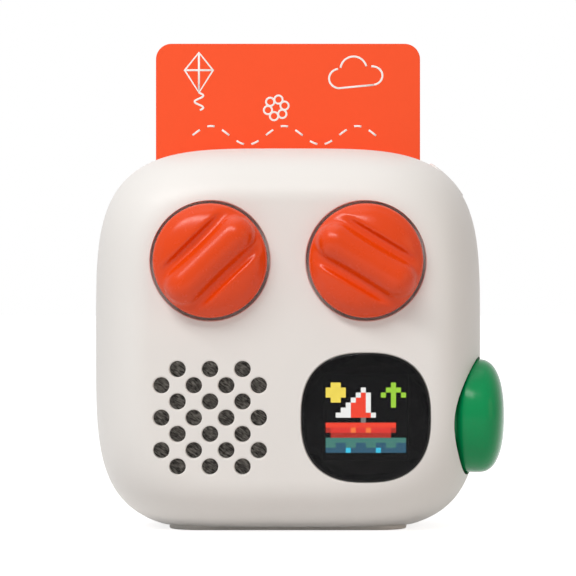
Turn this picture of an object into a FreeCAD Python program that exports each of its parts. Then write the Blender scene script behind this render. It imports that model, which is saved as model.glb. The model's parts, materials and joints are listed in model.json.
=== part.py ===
import FreeCAD, Part
import math
import os
from FreeCAD import Vector

# Card-operated audio story player for small children.
#
# Millimetres.  X runs to the right, +Y away from the person who faces the
# player, +Z up.  The origin is on the table under the middle of the case.
# The case is a soft squircle pillow in two shells.  Two knobs, a loudspeaker
# grille and a pixel display share its front, a round button sits in its right
# side, and a plastic card stands in a pocket that opens in its crown.

# ---------------------------------------------------------------- case
case_width = 77.0
level_height = 37.7          # height of the widest level above the table
crown_rise = 38.1            # from that level up to the crown
belly_under = 1.0            # the outline would close this far below the table
upper_power = 4.0            # squareness of the outline above that level
lower_power = 4.2            # and below it
face_flat_width = 53.9       # flat middle of the front and rear faces
dome_power = 2.2             # how square the edge rounds over
front_dome_depth = 23.0
band_depth = 8.0             # straight stretch between the two round-overs
rear_dome_depth = 12.0
rear_band = 1.0              # part of that stretch on the rear shell
wall = 2.2
floor_wall = 2.6
foot_gap = 0.8               # flat base of the case above the table
lip_thickness = 1.0
lip_depth = 1.4
lip_gap = 0.12
edge_break = 0.3             # broken edges of the holes in the front face
outline_points = 64
profile_points = 13

# ---------------------------------------------------------------- foot pad
pad_length = 47.2
pad_depth = 25.0
pad_corner = 6.0
pad_recess = 1.0
pad_gap = 0.1
pad_forward = 3.3            # its middle in front of the straight band's middle

# ---------------------------------------------------------------- rows on the face
column_offset = 15.1         # knobs, grille and display, left and right of the middle
knob_row_rise = 15.4         # above the widest level
lower_row_drop = 15.05       # below it

# ---------------------------------------------------------------- knobs
knob_diameter = 22.2
knob_recess_gap = 0.5
knob_recess_depth = 2.2
knob_floor = 1.8
knob_lift = 1.1              # air between knob and recess floor
knob_travel = 0.8
knob_rim_height = 3.4
knob_rim_round = 0.6
knob_root = 0.5              # how far joined shapes reach into the disc
crescent_height = 1.9        # above the rim
crescent_start = 5.5         # from the knob's middle
crescent_margin = 0.7
crescent_round = 1.6
ridge_height = 4.0
ridge_width = 7.4
ridge_margin = 0.55
ridge_round = 2.8
left_knob_turn = 44.0        # degrees, ridge above the horizontal
right_knob_turn = -31.0
hub_radius = 3.9
hub_hole_gap = 0.3
hub_end_gap = 0.5            # hub stops short of the shell's inner side
seal_thickness = 0.2
seal_margin = 2.0            # inside the knob's edge
seal_hub_gap = 1.0
shaft_radius = 3.0
shaft_flat = 2.2             # from the shaft's middle to its flat
shaft_grip = 4.4             # length of shaft inside the knob
bearing_gap = 0.05

# ---------------------------------------------------------------- rotary encoders
encoder_side = 12.4
encoder_depth = 6.6
encoder_floor = 0.4
encoder_lid = 0.8
encoder_root = 0.5           # bushing let into the body
bushing_radius = 3.7
bushing_end_gap = 0.6
rotor_radius = 4.8
rotor_thickness = 2.2
rotor_gap = 0.3
detents = 15
detent_radius = 0.5
shaft_tail = 1.1             # shaft past the rotor
dome_radius = 2.4
dome_thickness = 0.6
touch_gap = 0.02

# ---------------------------------------------------------------- loudspeaker
grille_hole = 3.15
grille_pitch = 6.29
grille_rows = 7
grille_wide_row = 4
grille_backing = 0.4         # extra wall behind the grille
cloth_radius = 12.2
cloth_thickness = 0.5
cloth_gap = 0.1
speaker_seat = 6.0           # from the front face to the speaker's rim
speaker_radius = 13.0
speaker_depth = 7.5
speaker_rim = 1.0
seat_rib = 1.4
ear_circle = 14.8
ear_radius = 2.1
speaker_screw_length = 2.8
basket_width = 1.4           # rim of the basket
basket_wall = 0.6
basket_cup = 1.0             # wall of its cup around the magnet
magnet_radius = 7.2
magnet_height = 2.7
coil_radius = 3.2
coil_wall = 0.3
coil_length = 2.2
coil_gap = 0.4
cone_radius = 9.6
cone_height = 0.62           # of its edge behind the speaker's rim
cone_drop = 2.4              # from the edge down to the coil
cap_drop = 1.4               # and to the dust cap
cone_thickness = 0.3
roll_wall = 0.25
roll_foot = 0.6
roll_share = 0.5             # height of the roll over its half width
roll_steps = 12

# ---------------------------------------------------------------- display
lens_side = 25.0
lens_power = 2.55
lens_gap = 0.1
lens_round = 0.6
lens_recess = 1.4
lens_floor = 1.6
tape_thickness = 0.15
tape_margin = 0.4
diffuser_thickness = 0.11
backing_margin = 1.6
pixels = 16
pixel_pitch = 0.974
window_margin = 0.6
grid_rib = 0.16
grid_gap = 0.1
led_height = 0.3
led_side = 0.6
led_board_side = 18.0
led_board_thickness = 1.0
header_width = 10.0
header_height = 2.5
header_drop = 5.75           # display header below the display's middle

# ---------------------------------------------------------------- power button
button_forward = 8.95        # its axis in front of the widest section
button_rise = 22.5           # and above the table
button_radius = 11.2
button_power = 2.5
button_equator = 0.9         # below the case's side
button_crown = 5.1           # above that equator
button_belly = 6.0
button_hole_gap = 0.45
button_skirt = 9.6
button_travel = 0.8
guide_gap = 0.3
guide_wall = 2.0
guide_depth = 11.5           # inner end of the guide below the case's side
guide_step = 6.8             # step under the button's round belly
retainer_radius = 10.8
retainer_bore = 8.6
retainer_thickness = 1.3
retainer_gap = 0.1
cup_radius = 7.5
cup_skin = 2.6
stem_radius = 1.7
switch_side = 6.0
switch_height = 3.8
switch_stand = 3.85          # from the plunger's axis back to the board
switch_plunger_radius = 1.5
switch_plunger_out = 1.4
switch_plunger_in = 2.2
switch_spring_room = 1.0
gasket_thickness = 0.5
gasket_gap = 0.3
pebble_steps = 10

# ---------------------------------------------------------------- card and its pocket
card_width = 53.98
card_length = 85.6
card_thickness = 0.76
card_corner = 3.18
card_gap_side = 0.4
card_gap_face = 0.25
chute_wall = 1.0
chute_side = 1.2
chute_floor = 1.4
chute_behind_parting = 0.9
chute_top_gap = 0.2
throat_height = 8.0          # from the crown down to the pocket's mouth
slot_funnel = 0.5
tab_width = 5.0
tab_height = 6.0
tab_rise = 7.7               # tabs below the widest level
reader_side = 44.0
reader_thickness = 0.8
spring_length = 18.0
spring_thickness = 0.15
spring_width = 8.0
spring_bow = 0.75            # ends of the spring behind the pocket's rear wall face
spring_card_gap = 0.05
spring_window_side = 2.5     # window wider than the spring on each side
spring_window_end = 1.0
tab_root = 0.5
reader_header_width = 8.0
reader_header_drop = 10.75   # below the widest level

# ---------------------------------------------------------------- boards, battery, sockets
board_thickness = 1.6
board_side_gap = 7.5
board_drop = 26.7            # its bottom below the widest level
board_rise = 28.3            # its top above the widest level
board_screw_plan = [(-25.8, 3.3), (25.5, 3.3), (3.4, -23.7), (0, 25.8)]     # x, rise above the widest level
chip_plan = [(0, 6.8, 9, 9, 1.1), (-11, 3.3, 6, 6, 1.0), (-19.5, -8.2, 5, 7, 0.9),
             (10, -4.7, 4, 6, 0.9), (-9.5, -16.2, 5, 3, 0.8), (7.5, 9.3, 3, 6, 0.8)]
# each chip is x, rise above the widest level, width, length, height
step_gap = 4.7               # the board is wider from this height above the button's ring
retainer_clearance = 0.8
switch_clearance = 2.4
battery_width = 46.0
battery_height = 34.0
battery_gap = 3.0            # between the battery and the charging board under it
battery_corner = 3.0
foam_thickness = 0.8
foam_margin = 5.5            # inside the battery's outline
foam_rise = 4.0
battery_tape = 0.8
battery_tape_margin = 8.0
pad_round = 2.0              # corners of foam and tape
socket_width = 8.94
socket_height = 3.26
socket_depth = 5.4
socket_wall = 0.3
socket_back = 0.8            # closed end of the socket
tongue_width = 6.4
tongue_thickness = 0.7
tongue_inset = 0.6           # its tip behind the mouth
socket_inset = 1.0
socket_rise = 18.0
port_gap = 0.25
port_flare = 1.6
charge_board_width = 27.0
charge_board_height = 12.0
charge_board_thickness = 1.0
charge_screw_offset = 10.6
jack_bore = 1.8
jack_bore_length = 13.0
jack_body_side = 6.0
jack_body_length = 14.0
jack_nose_radius = 2.9
jack_nose_length = 2.2
bezel_radius = 4.55
bezel_gap = 0.1
bezel_seat = 2.0
bezel_proud = 0.2
bezel_crown = 0.85
bezel_hole = 2.1
bezel_boss = 6.4
bezel_boss_depth = 4.0

# ---------------------------------------------------------------- screws and posts
post_radius = 3.2
post_gap = 0.5
post_floor_gap = 0.4
post_low_x = 24.0
post_high_rise = 20.3
screw_radius = 1.25
screw_clearance = 0.2
screw_head_radius = 2.3
screw_head_height = 1.6
screw_length = 10.0
ledge = 2.2
well_radius = 2.6
plug_gap = 0.3               # over the screw head
cross_reach = 0.55           # of the head's radius
cross_width = 0.24
small_screw_radius = 0.8
small_head_radius = 1.5
small_head_height = 0.9
small_screw_length = 4.0
thread_gap = 0.02
screw_hole_gap = 0.1         # around small screws in the pieces they hold
board_post_radius = 2.5
lead_radius = 0.45
ribbon_width = 6.0
ribbon_offset = 7.0          # left of the middle, clear of the board's lower screw
ribbon_thickness = 0.25
lead_room = 2.6              # battery leads beside the pocket
lead_rise = 9.0
lead_spacing = 1.6

# ---------------------------------------------------------------- places that follow
case_half = case_width / 2
belly_drop = level_height + belly_under
y_front = -(front_dome_depth + band_depth + rear_dome_depth) / 2
y_wide = y_front + front_dome_depth
y_rear_wide = y_wide + band_depth
y_rear = y_rear_wide + rear_dome_depth
y_part = y_rear_wide - rear_band
z_crown = level_height + crown_rise
z_floor = foot_gap + floor_wall
y_pad = (y_wide + y_rear_wide) / 2 - pad_forward

z_knobs = level_height + knob_row_rise
z_lower = level_height - lower_row_drop
board_high = level_height + board_rise
z_board_low = level_height - board_drop
board_screws_at = [(x, level_height + rise) for x, rise in board_screw_plan]
knob_radius = knob_diameter / 2
recess_radius = knob_radius + knob_recess_gap
y_recess = y_front + knob_recess_depth
y_knob_back = y_recess - knob_lift
y_knob_floor_back = y_recess + knob_floor
y_hub_end = y_knob_floor_back - hub_end_gap
y_shaft_top = y_hub_end - shaft_grip

y_button = y_wide - button_forward
z_button = button_rise
step_level = z_button + retainer_radius + step_gap
x_equator = case_half - button_equator
x_guide_end = case_half - guide_depth
x_retainer = x_guide_end - retainer_gap
x_retainer_end = x_retainer - retainer_thickness
y_board = y_button + switch_stand
y_board_back = y_board + board_thickness
y_encoder = y_board - encoder_depth

y_chute = y_part + chute_behind_parting
y_card_front = y_chute + chute_wall + card_gap_face
y_card_back = y_card_front + card_thickness
y_chute_back = y_card_back + card_gap_face + chute_wall
chute_half = card_width / 2 + card_gap_side + chute_side
z_post_low = z_floor + post_radius + post_floor_gap
z_chute = z_post_low + post_radius + post_gap
z_card = z_chute + chute_floor
z_throat = z_crown - throat_height
x_post_high = chute_half + post_gap + post_radius
z_post_high = level_height + post_high_rise

corner_reach = 1 / math.sqrt(2)
corner_distance = (
    (corner_reach / case_half) ** upper_power + (corner_reach / crown_rise) ** upper_power
) ** (-1 / upper_power)
jack_axis = Vector(corner_reach, 0, corner_reach)
y_jack = y_board_back + jack_body_side / 2


# ---------------------------------------------------------------- small helpers
def box(x0, x1, y0, y1, z0, z1):
    """Box between two corners."""
    return Part.makeBox(x1 - x0, y1 - y0, z1 - z0, Vector(x0, y0, z0))


def rod_y(x, z, radius, y0, y1):
    """Cylinder along Y."""
    return Part.makeCylinder(radius, y1 - y0, Vector(x, y0, z), Vector(0, 1, 0))


def rod_x(y, z, radius, x0, x1):
    """Cylinder along X."""
    return Part.makeCylinder(radius, x1 - x0, Vector(x0, y, z), Vector(1, 0, 0))


def rod_jack(radius, low, high):
    """Cylinder on the headphone axis, between two distances from the case's middle."""
    start = Vector(0, y_jack, level_height) + jack_axis * low
    return Part.makeCylinder(radius, high - low, start, jack_axis)


def join(shapes):
    """All shapes fused into one."""
    return shapes[0].multiFuse(shapes[1:]).removeSplitter() if len(shapes) > 1 else shapes[0]


def lathe_y(points, x, z, y):
    """Closed profile of (radius, distance along +Y) points turned about a Y axis."""
    corners = [Vector(x + r, y + d, z) for r, d in points]
    face = Part.Face(Part.makePolygon(corners + corners[:1]))
    return face.revolve(Vector(x, y, z), Vector(0, 1, 0), 360)


def front_hole(x, z, radius, y_end):
    """Tool for a hole in the front face with a broken edge, down to y_end."""
    depth = y_end - y_front
    profile = [(0, -1), (radius + edge_break + 1, -1), (radius, edge_break), (radius, depth), (0, depth)]
    return lathe_y(profile, x, z, y_front)


def rounded_plate(width, height, corner, x, z, y0, y1):
    """Plate in the XZ plane with round corners."""
    plate = box(x - width / 2, x + width / 2, y0, y1, z - height / 2, z + height / 2)
    upright = [e for e in plate.Edges if abs(e.tangentAt(e.FirstParameter).y) > 0.9]
    return plate.makeFillet(corner, upright)


def squircle_points(half_width, rise, drop, power_up, power_down, count):
    """Points of a squircle about its middle, in even steps of the polar angle."""
    points = []
    for step in range(count):
        angle = 2 * math.pi * step / count - math.pi / 2
        across, up = math.cos(angle), math.sin(angle)
        height, power = (rise, power_up) if up > 0 else (drop, power_down)
        reach = (abs(across / half_width) ** power + abs(up / height) ** power) ** (-1 / power)
        points.append(Vector(reach * across, 0, reach * up))
    return points


def closed_spline(points):
    """Periodic spline through the points."""
    curve = Part.BSplineCurve()
    curve.interpolate(Points=points, PeriodicFlag=True)
    return curve


# ---------------------------------------------------------------- case form
def case_outline(inset):
    """Outline of the case's widest section, moved in by an inset."""
    return closed_spline(squircle_points(
        case_half - inset, crown_rise - inset, belly_drop - inset,
        upper_power, lower_power, outline_points))


def round_over(half_width, depth):
    """Spline of (half width, distance) from the widest section to the edge of the flat."""
    flat = face_flat_width / 2
    points = []
    for step in range(profile_points):
        turn = math.pi / 2 * step / (profile_points - 1)
        out, forward = math.cos(turn), math.sin(turn)
        reach = (out ** dome_power + forward ** dome_power) ** (-1 / dome_power)
        points.append(Vector(flat + (half_width - flat) * reach * out, depth * reach * forward, 0))
    curve = Part.BSplineCurve()
    side = 1 if depth > 0 else -1
    curve.interpolate(Points=points, InitialTangent=Vector(0, side, 0), FinalTangent=Vector(-1, 0, 0))
    return curve


def dome_surface(outline, profile, half_width, y_start):
    """Outline shrunk along the profile: each pole is an outline pole times a profile pole."""
    poles = []
    for corner in outline.getPoles():
        row = []
        for step in profile.getPoles():
            share = step.x / half_width
            row.append(Vector(corner.x * share, y_start + step.y, level_height + corner.z * share))
        poles.append(row)
    surface = Part.BSplineSurface()
    surface.buildFromPolesMultsKnots(
        poles, outline.getMultiplicities(), profile.getMultiplicities(),
        outline.getKnots(), profile.getKnots(), True, False, outline.Degree, profile.Degree)
    return surface


def pillow(inset, y_face, y_start, y_end):
    """Solid with a flat face at y_face, a round-over to y_start and a straight band to y_end."""
    half_width = case_half - inset
    profile = round_over(half_width, y_face - y_start)
    dome = dome_surface(case_outline(inset), profile, half_width, y_start).toShape()
    rims = [e for e in dome.Edges if e.isClosed()]
    rims.sort(key=lambda e: abs(e.BoundBox.YMin - y_start))
    band = rims[0].extrude(Vector(0, y_end - y_start, 0))
    ends = [e for e in band.Edges if e.isClosed()]
    ends.sort(key=lambda e: abs(e.BoundBox.YMin - y_end))
    caps = [Part.Face(Part.Wire([ends[0]])), Part.Face(Part.Wire([rims[1]]))]
    shell = Part.Shell([dome, band] + caps)
    shell.sewShape()
    solid = Part.Solid(shell)
    if solid.Volume < 0:
        solid.reverse()
    return solid


def below(z):
    """Everything under a level."""
    return box(-case_width, case_width, 2 * y_front, 2 * y_rear, -case_width, z)


def outline_ring(outer_inset, inner_inset, y0, y1):
    """Ring between two insets of the outline, above the floor."""
    prisms = []
    for inset in (outer_inset, inner_inset):
        face = Part.Face(Part.Wire([case_outline(inset).toShape()]))
        face.translate(Vector(0, y0, level_height))
        prisms.append(face.extrude(Vector(0, y1 - y0, 0)))
    return prisms[0].cut(prisms[1]).cut(below(z_floor))


def front_form(inset, floor, y_end):
    """Front half of the case form, moved in by an inset."""
    return pillow(inset, y_front + inset, y_wide, y_end).cut(below(foot_gap + floor))


def rear_form(inset, floor, y_end):
    """Rear half of the case form, moved in by an inset."""
    return pillow(inset, y_rear - inset, y_rear_wide, y_end).cut(below(foot_gap + floor))


def pad_block(grow, z0, z1):
    """Foot pad outline between two levels."""
    block = box(-pad_length / 2 - grow, pad_length / 2 + grow,
                y_pad - pad_depth / 2 - grow, y_pad + pad_depth / 2 + grow, z0, z1)
    upright = [e for e in block.Edges if abs(e.tangentAt(e.FirstParameter).z) > 0.9]
    return block.makeFillet(pad_corner + grow, upright)


def case_post_places():
    """The four case screws, as (x, z)."""
    return [(side * x, z) for side in (-1, 1)
            for x, z in ((post_low_x, z_post_low), (x_post_high, z_post_high))]


def ear_places():
    """Screws of the loudspeaker, as (x, z)."""
    places = []
    for degrees in (30, 150, 270):
        turn = math.radians(degrees)
        places.append((-column_offset + ear_circle * math.cos(turn), z_lower + ear_circle * math.sin(turn)))
    return places


def grille_places():
    """Hole centres of the grille, in staggered rows of one less and the full number."""
    places = []
    for row in range(grille_rows):
        count = grille_wide_row - (row + 1) % 2
        z = z_lower + (row - (grille_rows - 1) / 2) * grille_pitch / 2
        for hole in range(count):
            places.append((-column_offset + (hole - (count - 1) / 2) * grille_pitch, z))
    return places


def lens_prism(grow, y0, y1):
    """Squircle prism of the display window, grown by a margin."""
    half = lens_side / 2 + grow
    outline = closed_spline(squircle_points(half, half, half, lens_power, lens_power, outline_points))
    face = Part.Face(Part.Wire([outline.toShape()]))
    face.translate(Vector(column_offset, y0, z_lower))
    return face.extrude(Vector(0, y1 - y0, 0))


def display_square(half, y0, y1):
    """Square block on the display's axis."""
    return box(column_offset - half, column_offset + half, y0, y1, z_lower - half, z_lower + half)


# ---------------------------------------------------------------- front shell
window_half = pixels * pixel_pitch / 2 + window_margin
y_lens_back = y_front + lens_recess
y_led_board = y_lens_back + lens_floor
y_grille_back = y_front + wall + grille_backing
y_speaker = y_front + speaker_seat


def front_shell_additions():
    """Posts, seats and guides inside the front shell."""
    parts = []
    for side in (-1, 1):
        parts.append(rod_y(side * column_offset, z_knobs, recess_radius + knob_floor,
                           y_front, y_knob_floor_back))
    parts.append(lens_prism(backing_margin, y_front, y_led_board))
    parts.append(rod_y(-column_offset, z_lower, cloth_radius + seat_rib, y_front, y_speaker))
    for x, z in ear_places():
        parts.append(rod_y(x, z, ear_radius, y_front, y_speaker))
    for x, z in board_screws_at:
        parts.append(rod_y(x, z, board_post_radius, y_front, y_board))
    for x, z in case_post_places():
        parts.append(rod_y(x, z, post_radius, y_front, y_part))
    guide_radius = button_radius + button_hole_gap + guide_wall
    parts.append(rod_x(y_button, z_button, guide_radius, x_guide_end, case_half))
    parts.append(rod_jack(bezel_boss, corner_distance - bezel_boss_depth, corner_distance))
    return parts


def front_shell_cuts():
    """Holes and recesses of the front shell."""
    cuts = []
    for side in (-1, 1):
        x = side * column_offset
        cuts.append(front_hole(x, z_knobs, recess_radius, y_recess))
        cuts.append(rod_y(x, z_knobs, hub_radius + hub_hole_gap, y_recess - 1, y_knob_floor_back + 1))
    for x, z in grille_places():
        cuts.append(front_hole(x, z, grille_hole / 2, y_grille_back + 1))
    cuts.append(rod_y(-column_offset, z_lower, cloth_radius + cloth_gap, y_grille_back, y_speaker + 1))
    cuts.append(lens_prism(lens_gap, y_front - 1, y_lens_back))
    cuts.append(display_square(window_half, y_lens_back - 1, y_led_board + 1))
    cuts.append(rod_x(y_button, z_button, button_radius + button_hole_gap,
                      case_half - guide_step, case_half + wall))
    cuts.append(rod_x(y_button, z_button, button_skirt + guide_gap, x_guide_end - 1, case_half))
    cuts.append(rod_jack(bezel_radius + bezel_gap, corner_distance - bezel_seat, corner_distance + wall))
    cuts.append(rod_jack(jack_nose_radius + bezel_gap, corner_distance - bezel_boss_depth - wall,
                         corner_distance))
    for x, z in ear_places():
        cuts.append(rod_y(x, z, small_screw_radius + thread_gap,
                          y_speaker + speaker_rim - speaker_screw_length, y_speaker + 1))
    for x, z in board_screws_at:
        cuts.append(rod_y(x, z, small_screw_radius + thread_gap, y_board - small_screw_length, y_board + 1))
    for x, z in case_post_places():
        cuts.append(rod_y(x, z, screw_radius + thread_gap, y_part + ledge - screw_length - 1, y_part + 1))
    cuts.append(pad_block(pad_gap, -1, foot_gap + pad_recess))
    cuts.append(outline_ring(wall - lip_thickness - lip_gap, wall + lip_gap,
                             y_part - lip_depth - lip_gap, y_part + 1))
    return cuts


def make_front_shell():
    """Front half of the case: what is added stands in the middle of the wall."""
    core = front_form(wall / 2, floor_wall / 2, y_part)
    additions = [part.common(core) for part in front_shell_additions()]
    shell = front_form(0, 0, y_part).cut(front_form(wall, floor_wall, y_part + wall))
    return shell.multiFuse(additions).cut(front_shell_cuts())


# ---------------------------------------------------------------- rear shell
y_charge_board = y_rear - socket_inset - socket_depth
tab_x = chute_half + tab_width / 2
z_tab = level_height - tab_rise


def slot_block(grow, z0, z1):
    """Space of the card grown by its clearances."""
    half = card_width / 2 + card_gap_side + grow
    return box(-half, half, y_card_front - card_gap_face - grow, y_card_back + card_gap_face + grow, z0, z1)


def port_block(grow, y0, y1):
    """Stadium around the charging socket."""
    width, height = socket_width + 2 * grow, socket_height + 2 * grow
    return rounded_plate(width, height, height / 2 - 0.01, 0, socket_rise, y0, y1)


def make_rear_shell():
    """Rear half of the case, with the card's throat and the screw wells."""
    core = rear_form(wall / 2, floor_wall / 2, y_part)
    additions = [box(-chute_half, chute_half, y_chute, y_chute_back, z_throat, z_crown)]
    for x, z in case_post_places():
        additions.append(rod_y(x, z, post_radius, y_part, y_rear))
    for side in (-1, 1):
        additions.append(rod_y(side * tab_x, z_tab, ear_radius, y_chute_back, y_rear))
        additions.append(rod_y(side * charge_screw_offset, socket_rise, ear_radius, y_charge_board, y_rear))
    shell = rear_form(0, 0, y_part).cut(rear_form(wall, floor_wall, y_part - wall))
    shell = shell.multiFuse([part.common(core) for part in additions])
    shell = shell.fuse(outline_ring(wall - lip_thickness, wall, y_part - lip_depth, y_part + 0.5))
    cuts = [slot_block(0, z_throat - 1, z_crown + 1), crown_funnel()]
    for x, z in case_post_places():
        cuts.append(rod_y(x, z, screw_radius + screw_clearance, y_part - 1, y_rear))
        cuts.append(rod_y(x, z, well_radius, y_part + ledge, y_rear + 1))
    for side in (-1, 1):
        cuts.append(rod_y(side * tab_x, z_tab, small_screw_radius + thread_gap,
                          y_chute_back - 1, y_chute_back + small_screw_length))
        cuts.append(rod_y(side * charge_screw_offset, socket_rise, small_screw_radius + thread_gap,
                          y_charge_board - 1, y_charge_board + small_screw_length - 1))
    cuts.append(port_block(port_gap, y_charge_board, y_rear + 1))
    cuts.append(port_block(port_flare, y_rear - socket_inset, y_rear + 1))
    cuts.append(pad_block(pad_gap, -1, foot_gap + pad_recess))
    return shell.cut(cuts)


def crown_funnel():
    """Bevelled mouth of the card slot."""
    half = card_width / 2 + card_gap_side
    near, far = y_card_front - card_gap_face, y_card_back + card_gap_face
    low, high = z_crown - slot_funnel, z_crown + slot_funnel
    section = [Vector(-half, near, low), Vector(-half, far, low),
               Vector(-half, far + 2 * slot_funnel, high), Vector(-half, near - 2 * slot_funnel, high)]
    face = Part.Face(Part.makePolygon(section + section[:1]))
    return face.extrude(Vector(2 * half, 0, 0))


# ---------------------------------------------------------------- fasteners
def screw(x, z, y_seat, direction, radius, head_radius, head_height, length):
    """Pan screw on the Y axis with its head on y_seat and its shank along direction."""
    shank = Part.makeCylinder(radius, length, Vector(x, y_seat, z), Vector(0, direction, 0))
    head = Part.makeCylinder(head_radius, head_height, Vector(x, y_seat, z), Vector(0, -direction, 0))
    y_top = y_seat - direction * head_height
    half, slot = head_radius * cross_reach, head_radius * cross_width / 2
    y_low, y_high = sorted((y_top - direction, y_top + direction * head_height / 2))
    cross = [box(x - half, x + half, y_low, y_high, z - slot, z + slot),
             box(x - slot, x + slot, y_low, y_high, z - half, z + half)]
    return shank.fuse(head).removeSplitter().cut(cross)


def small_screws(places, y_seat, direction, length):
    """Group of small screws."""
    return Part.makeCompound([
        screw(x, z, y_seat, direction, small_screw_radius, small_head_radius, small_head_height, length)
        for x, z in places])


def make_fasteners():
    """Case screws, their plugs and the small screws."""
    rear = rear_form(0, 0, y_part)
    y_ledge = y_part + ledge
    case_screws = Part.makeCompound([
        screw(x, z, y_ledge, -1, screw_radius, screw_head_radius, screw_head_height, screw_length)
        for x, z in case_post_places()])
    plugs = Part.makeCompound([
        rod_y(x, z, well_radius - pad_gap, y_ledge + screw_head_height + plug_gap, y_rear).common(rear)
        for x, z in case_post_places()])
    tabs = [(side * tab_x, z_tab) for side in (-1, 1)]
    charge = [(side * charge_screw_offset, socket_rise) for side in (-1, 1)]
    return {
        "case_screws": case_screws,
        "screw_plugs": plugs,
        "speaker_screws": small_screws(ear_places(), y_speaker + speaker_rim, -1, speaker_screw_length),
        "board_screws": small_screws(board_screws_at, y_board_back, -1, small_screw_length),
        "chute_screws": small_screws(tabs, y_chute_back - chute_wall, 1, small_screw_length),
        "charge_board_screws": small_screws(charge, y_charge_board - charge_board_thickness, 1,
                                            small_screw_length - 0.5),
    }


# ---------------------------------------------------------------- knobs and encoders
def knob_relief(turn):
    """Ridge and crescents on the knob's face, about the origin, rising along -Y from 0."""
    length = knob_diameter - 2 * ridge_margin
    ridge = box(-length / 2, length / 2, -ridge_height, knob_root, -ridge_width / 2, ridge_width / 2)
    upright = [e for e in ridge.Edges if abs(e.tangentAt(e.FirstParameter).y) > 0.9]
    ridge = ridge.makeFillet(ridge_width / 2 - 0.01, upright)
    top = [e for e in ridge.Edges if e.BoundBox.YMax < -ridge_height + 0.01]
    parts = [ridge.makeFillet(ridge_round, top)]
    for side in (-1, 1):
        disc = Part.makeCylinder(knob_radius - crescent_margin, crescent_height + knob_root,
                                 Vector(0, -crescent_height, 0), Vector(0, 1, 0))
        reach = side * crescent_start
        keep = box(-knob_radius, knob_radius, -knob_radius, knob_radius,
                   min(reach, side * knob_radius), max(reach, side * knob_radius))
        crescent = disc.common(keep)
        top = [e for e in crescent.Edges if e.BoundBox.YMax < -crescent_height + 0.01]
        parts.append(crescent.makeFillet(crescent_round, top))
    relief = Part.makeCompound(parts)
    relief.rotate(Vector(0, 0, 0), Vector(0, 1, 0), -turn)
    return relief.Solids


def d_shaft(x, z, y0, y1, grow):
    """Round shaft with one flat, grown by a clearance."""
    shaft = rod_y(x, z, shaft_radius + grow, y0, y1)
    reach = shaft_radius + 1
    return shaft.cut(box(x - reach, x + reach, y0 - 1, y1 + 1, z + shaft_flat + grow, z + reach))


def make_knob(x, turn):
    """Turn-and-press knob with a tall grip ridge between two raised crescents."""
    y_rim = y_knob_back - knob_rim_height
    disc = rod_y(x, z_knobs, knob_radius, y_rim, y_knob_back)
    edge = [e for e in disc.Edges if e.isClosed() and e.BoundBox.YMax < y_rim + 0.01]
    disc = disc.makeFillet(knob_rim_round, edge)
    parts = [disc, rod_y(x, z_knobs, hub_radius, y_knob_back - knob_root, y_hub_end)]
    for solid in knob_relief(turn):
        solid.translate(Vector(x, y_rim, z_knobs))
        parts.append(solid)
    return join(parts).cut(d_shaft(x, z_knobs, y_shaft_top - touch_gap, y_hub_end + 1, touch_gap))


def make_encoder(x):
    """Body, rotor, shaft and push dome of one rotary encoder."""
    half = encoder_side / 2
    y_rotor = y_encoder + encoder_lid + rotor_gap
    y_rotor_end = y_rotor + rotor_thickness
    y_shaft_end = y_rotor_end + shaft_tail
    y_dome = y_shaft_end + touch_gap
    body = box(x - half, x + half, y_encoder, y_board, z_knobs - half, z_knobs + half)
    body = body.fuse(rod_y(x, z_knobs, bushing_radius, y_hub_end + knob_travel + bushing_end_gap,
                           y_encoder + encoder_root))
    body = body.cut([
        rod_y(x, z_knobs, shaft_radius + bearing_gap, y_hub_end, y_encoder + 2),
        rod_y(x, z_knobs, rotor_radius + rotor_gap, y_rotor - rotor_gap, y_rotor_end + rotor_gap),
        rod_y(x, z_knobs, shaft_radius + rotor_gap, y_rotor_end, y_board - encoder_floor)])
    rotor = rod_y(x, z_knobs, rotor_radius, y_rotor, y_rotor_end)
    notches = []
    for step in range(detents):
        turn = 2 * math.pi * step / detents
        notches.append(rod_y(x + rotor_radius * math.cos(turn), z_knobs + rotor_radius * math.sin(turn),
                             detent_radius, y_rotor - 1, y_rotor_end + 1))
    rotor = rotor.cut(notches + [d_shaft(x, z_knobs, y_rotor - 1, y_rotor_end + 1, bearing_gap)])
    shaft = d_shaft(x, z_knobs, y_shaft_top, y_shaft_end, 0)
    dome = rod_y(x, z_knobs, dome_radius, y_dome, y_dome + dome_thickness)
    return body.removeSplitter(), rotor, shaft, dome


def make_knobs():
    """Both knob sets."""
    nodes = {}
    for name, side, turn in (("left", -1, left_knob_turn), ("right", 1, right_knob_turn)):
        x = side * column_offset
        body, rotor, shaft, dome = make_encoder(x)
        nodes[name + "_knob"] = make_knob(x, turn)
        nodes[name + "_encoder_body"] = body
        nodes[name + "_encoder_rotor"] = rotor
        nodes[name + "_encoder_shaft"] = shaft
        nodes[name + "_push_dome"] = dome
        seal = rod_y(x, z_knobs, knob_radius - seal_margin, y_recess - seal_thickness, y_recess)
        hole = rod_y(x, z_knobs, hub_radius + seal_hub_gap, y_recess - 1, y_recess + 1)
        nodes[name + "_knob_seal"] = seal.cut(hole)
    return nodes


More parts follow.
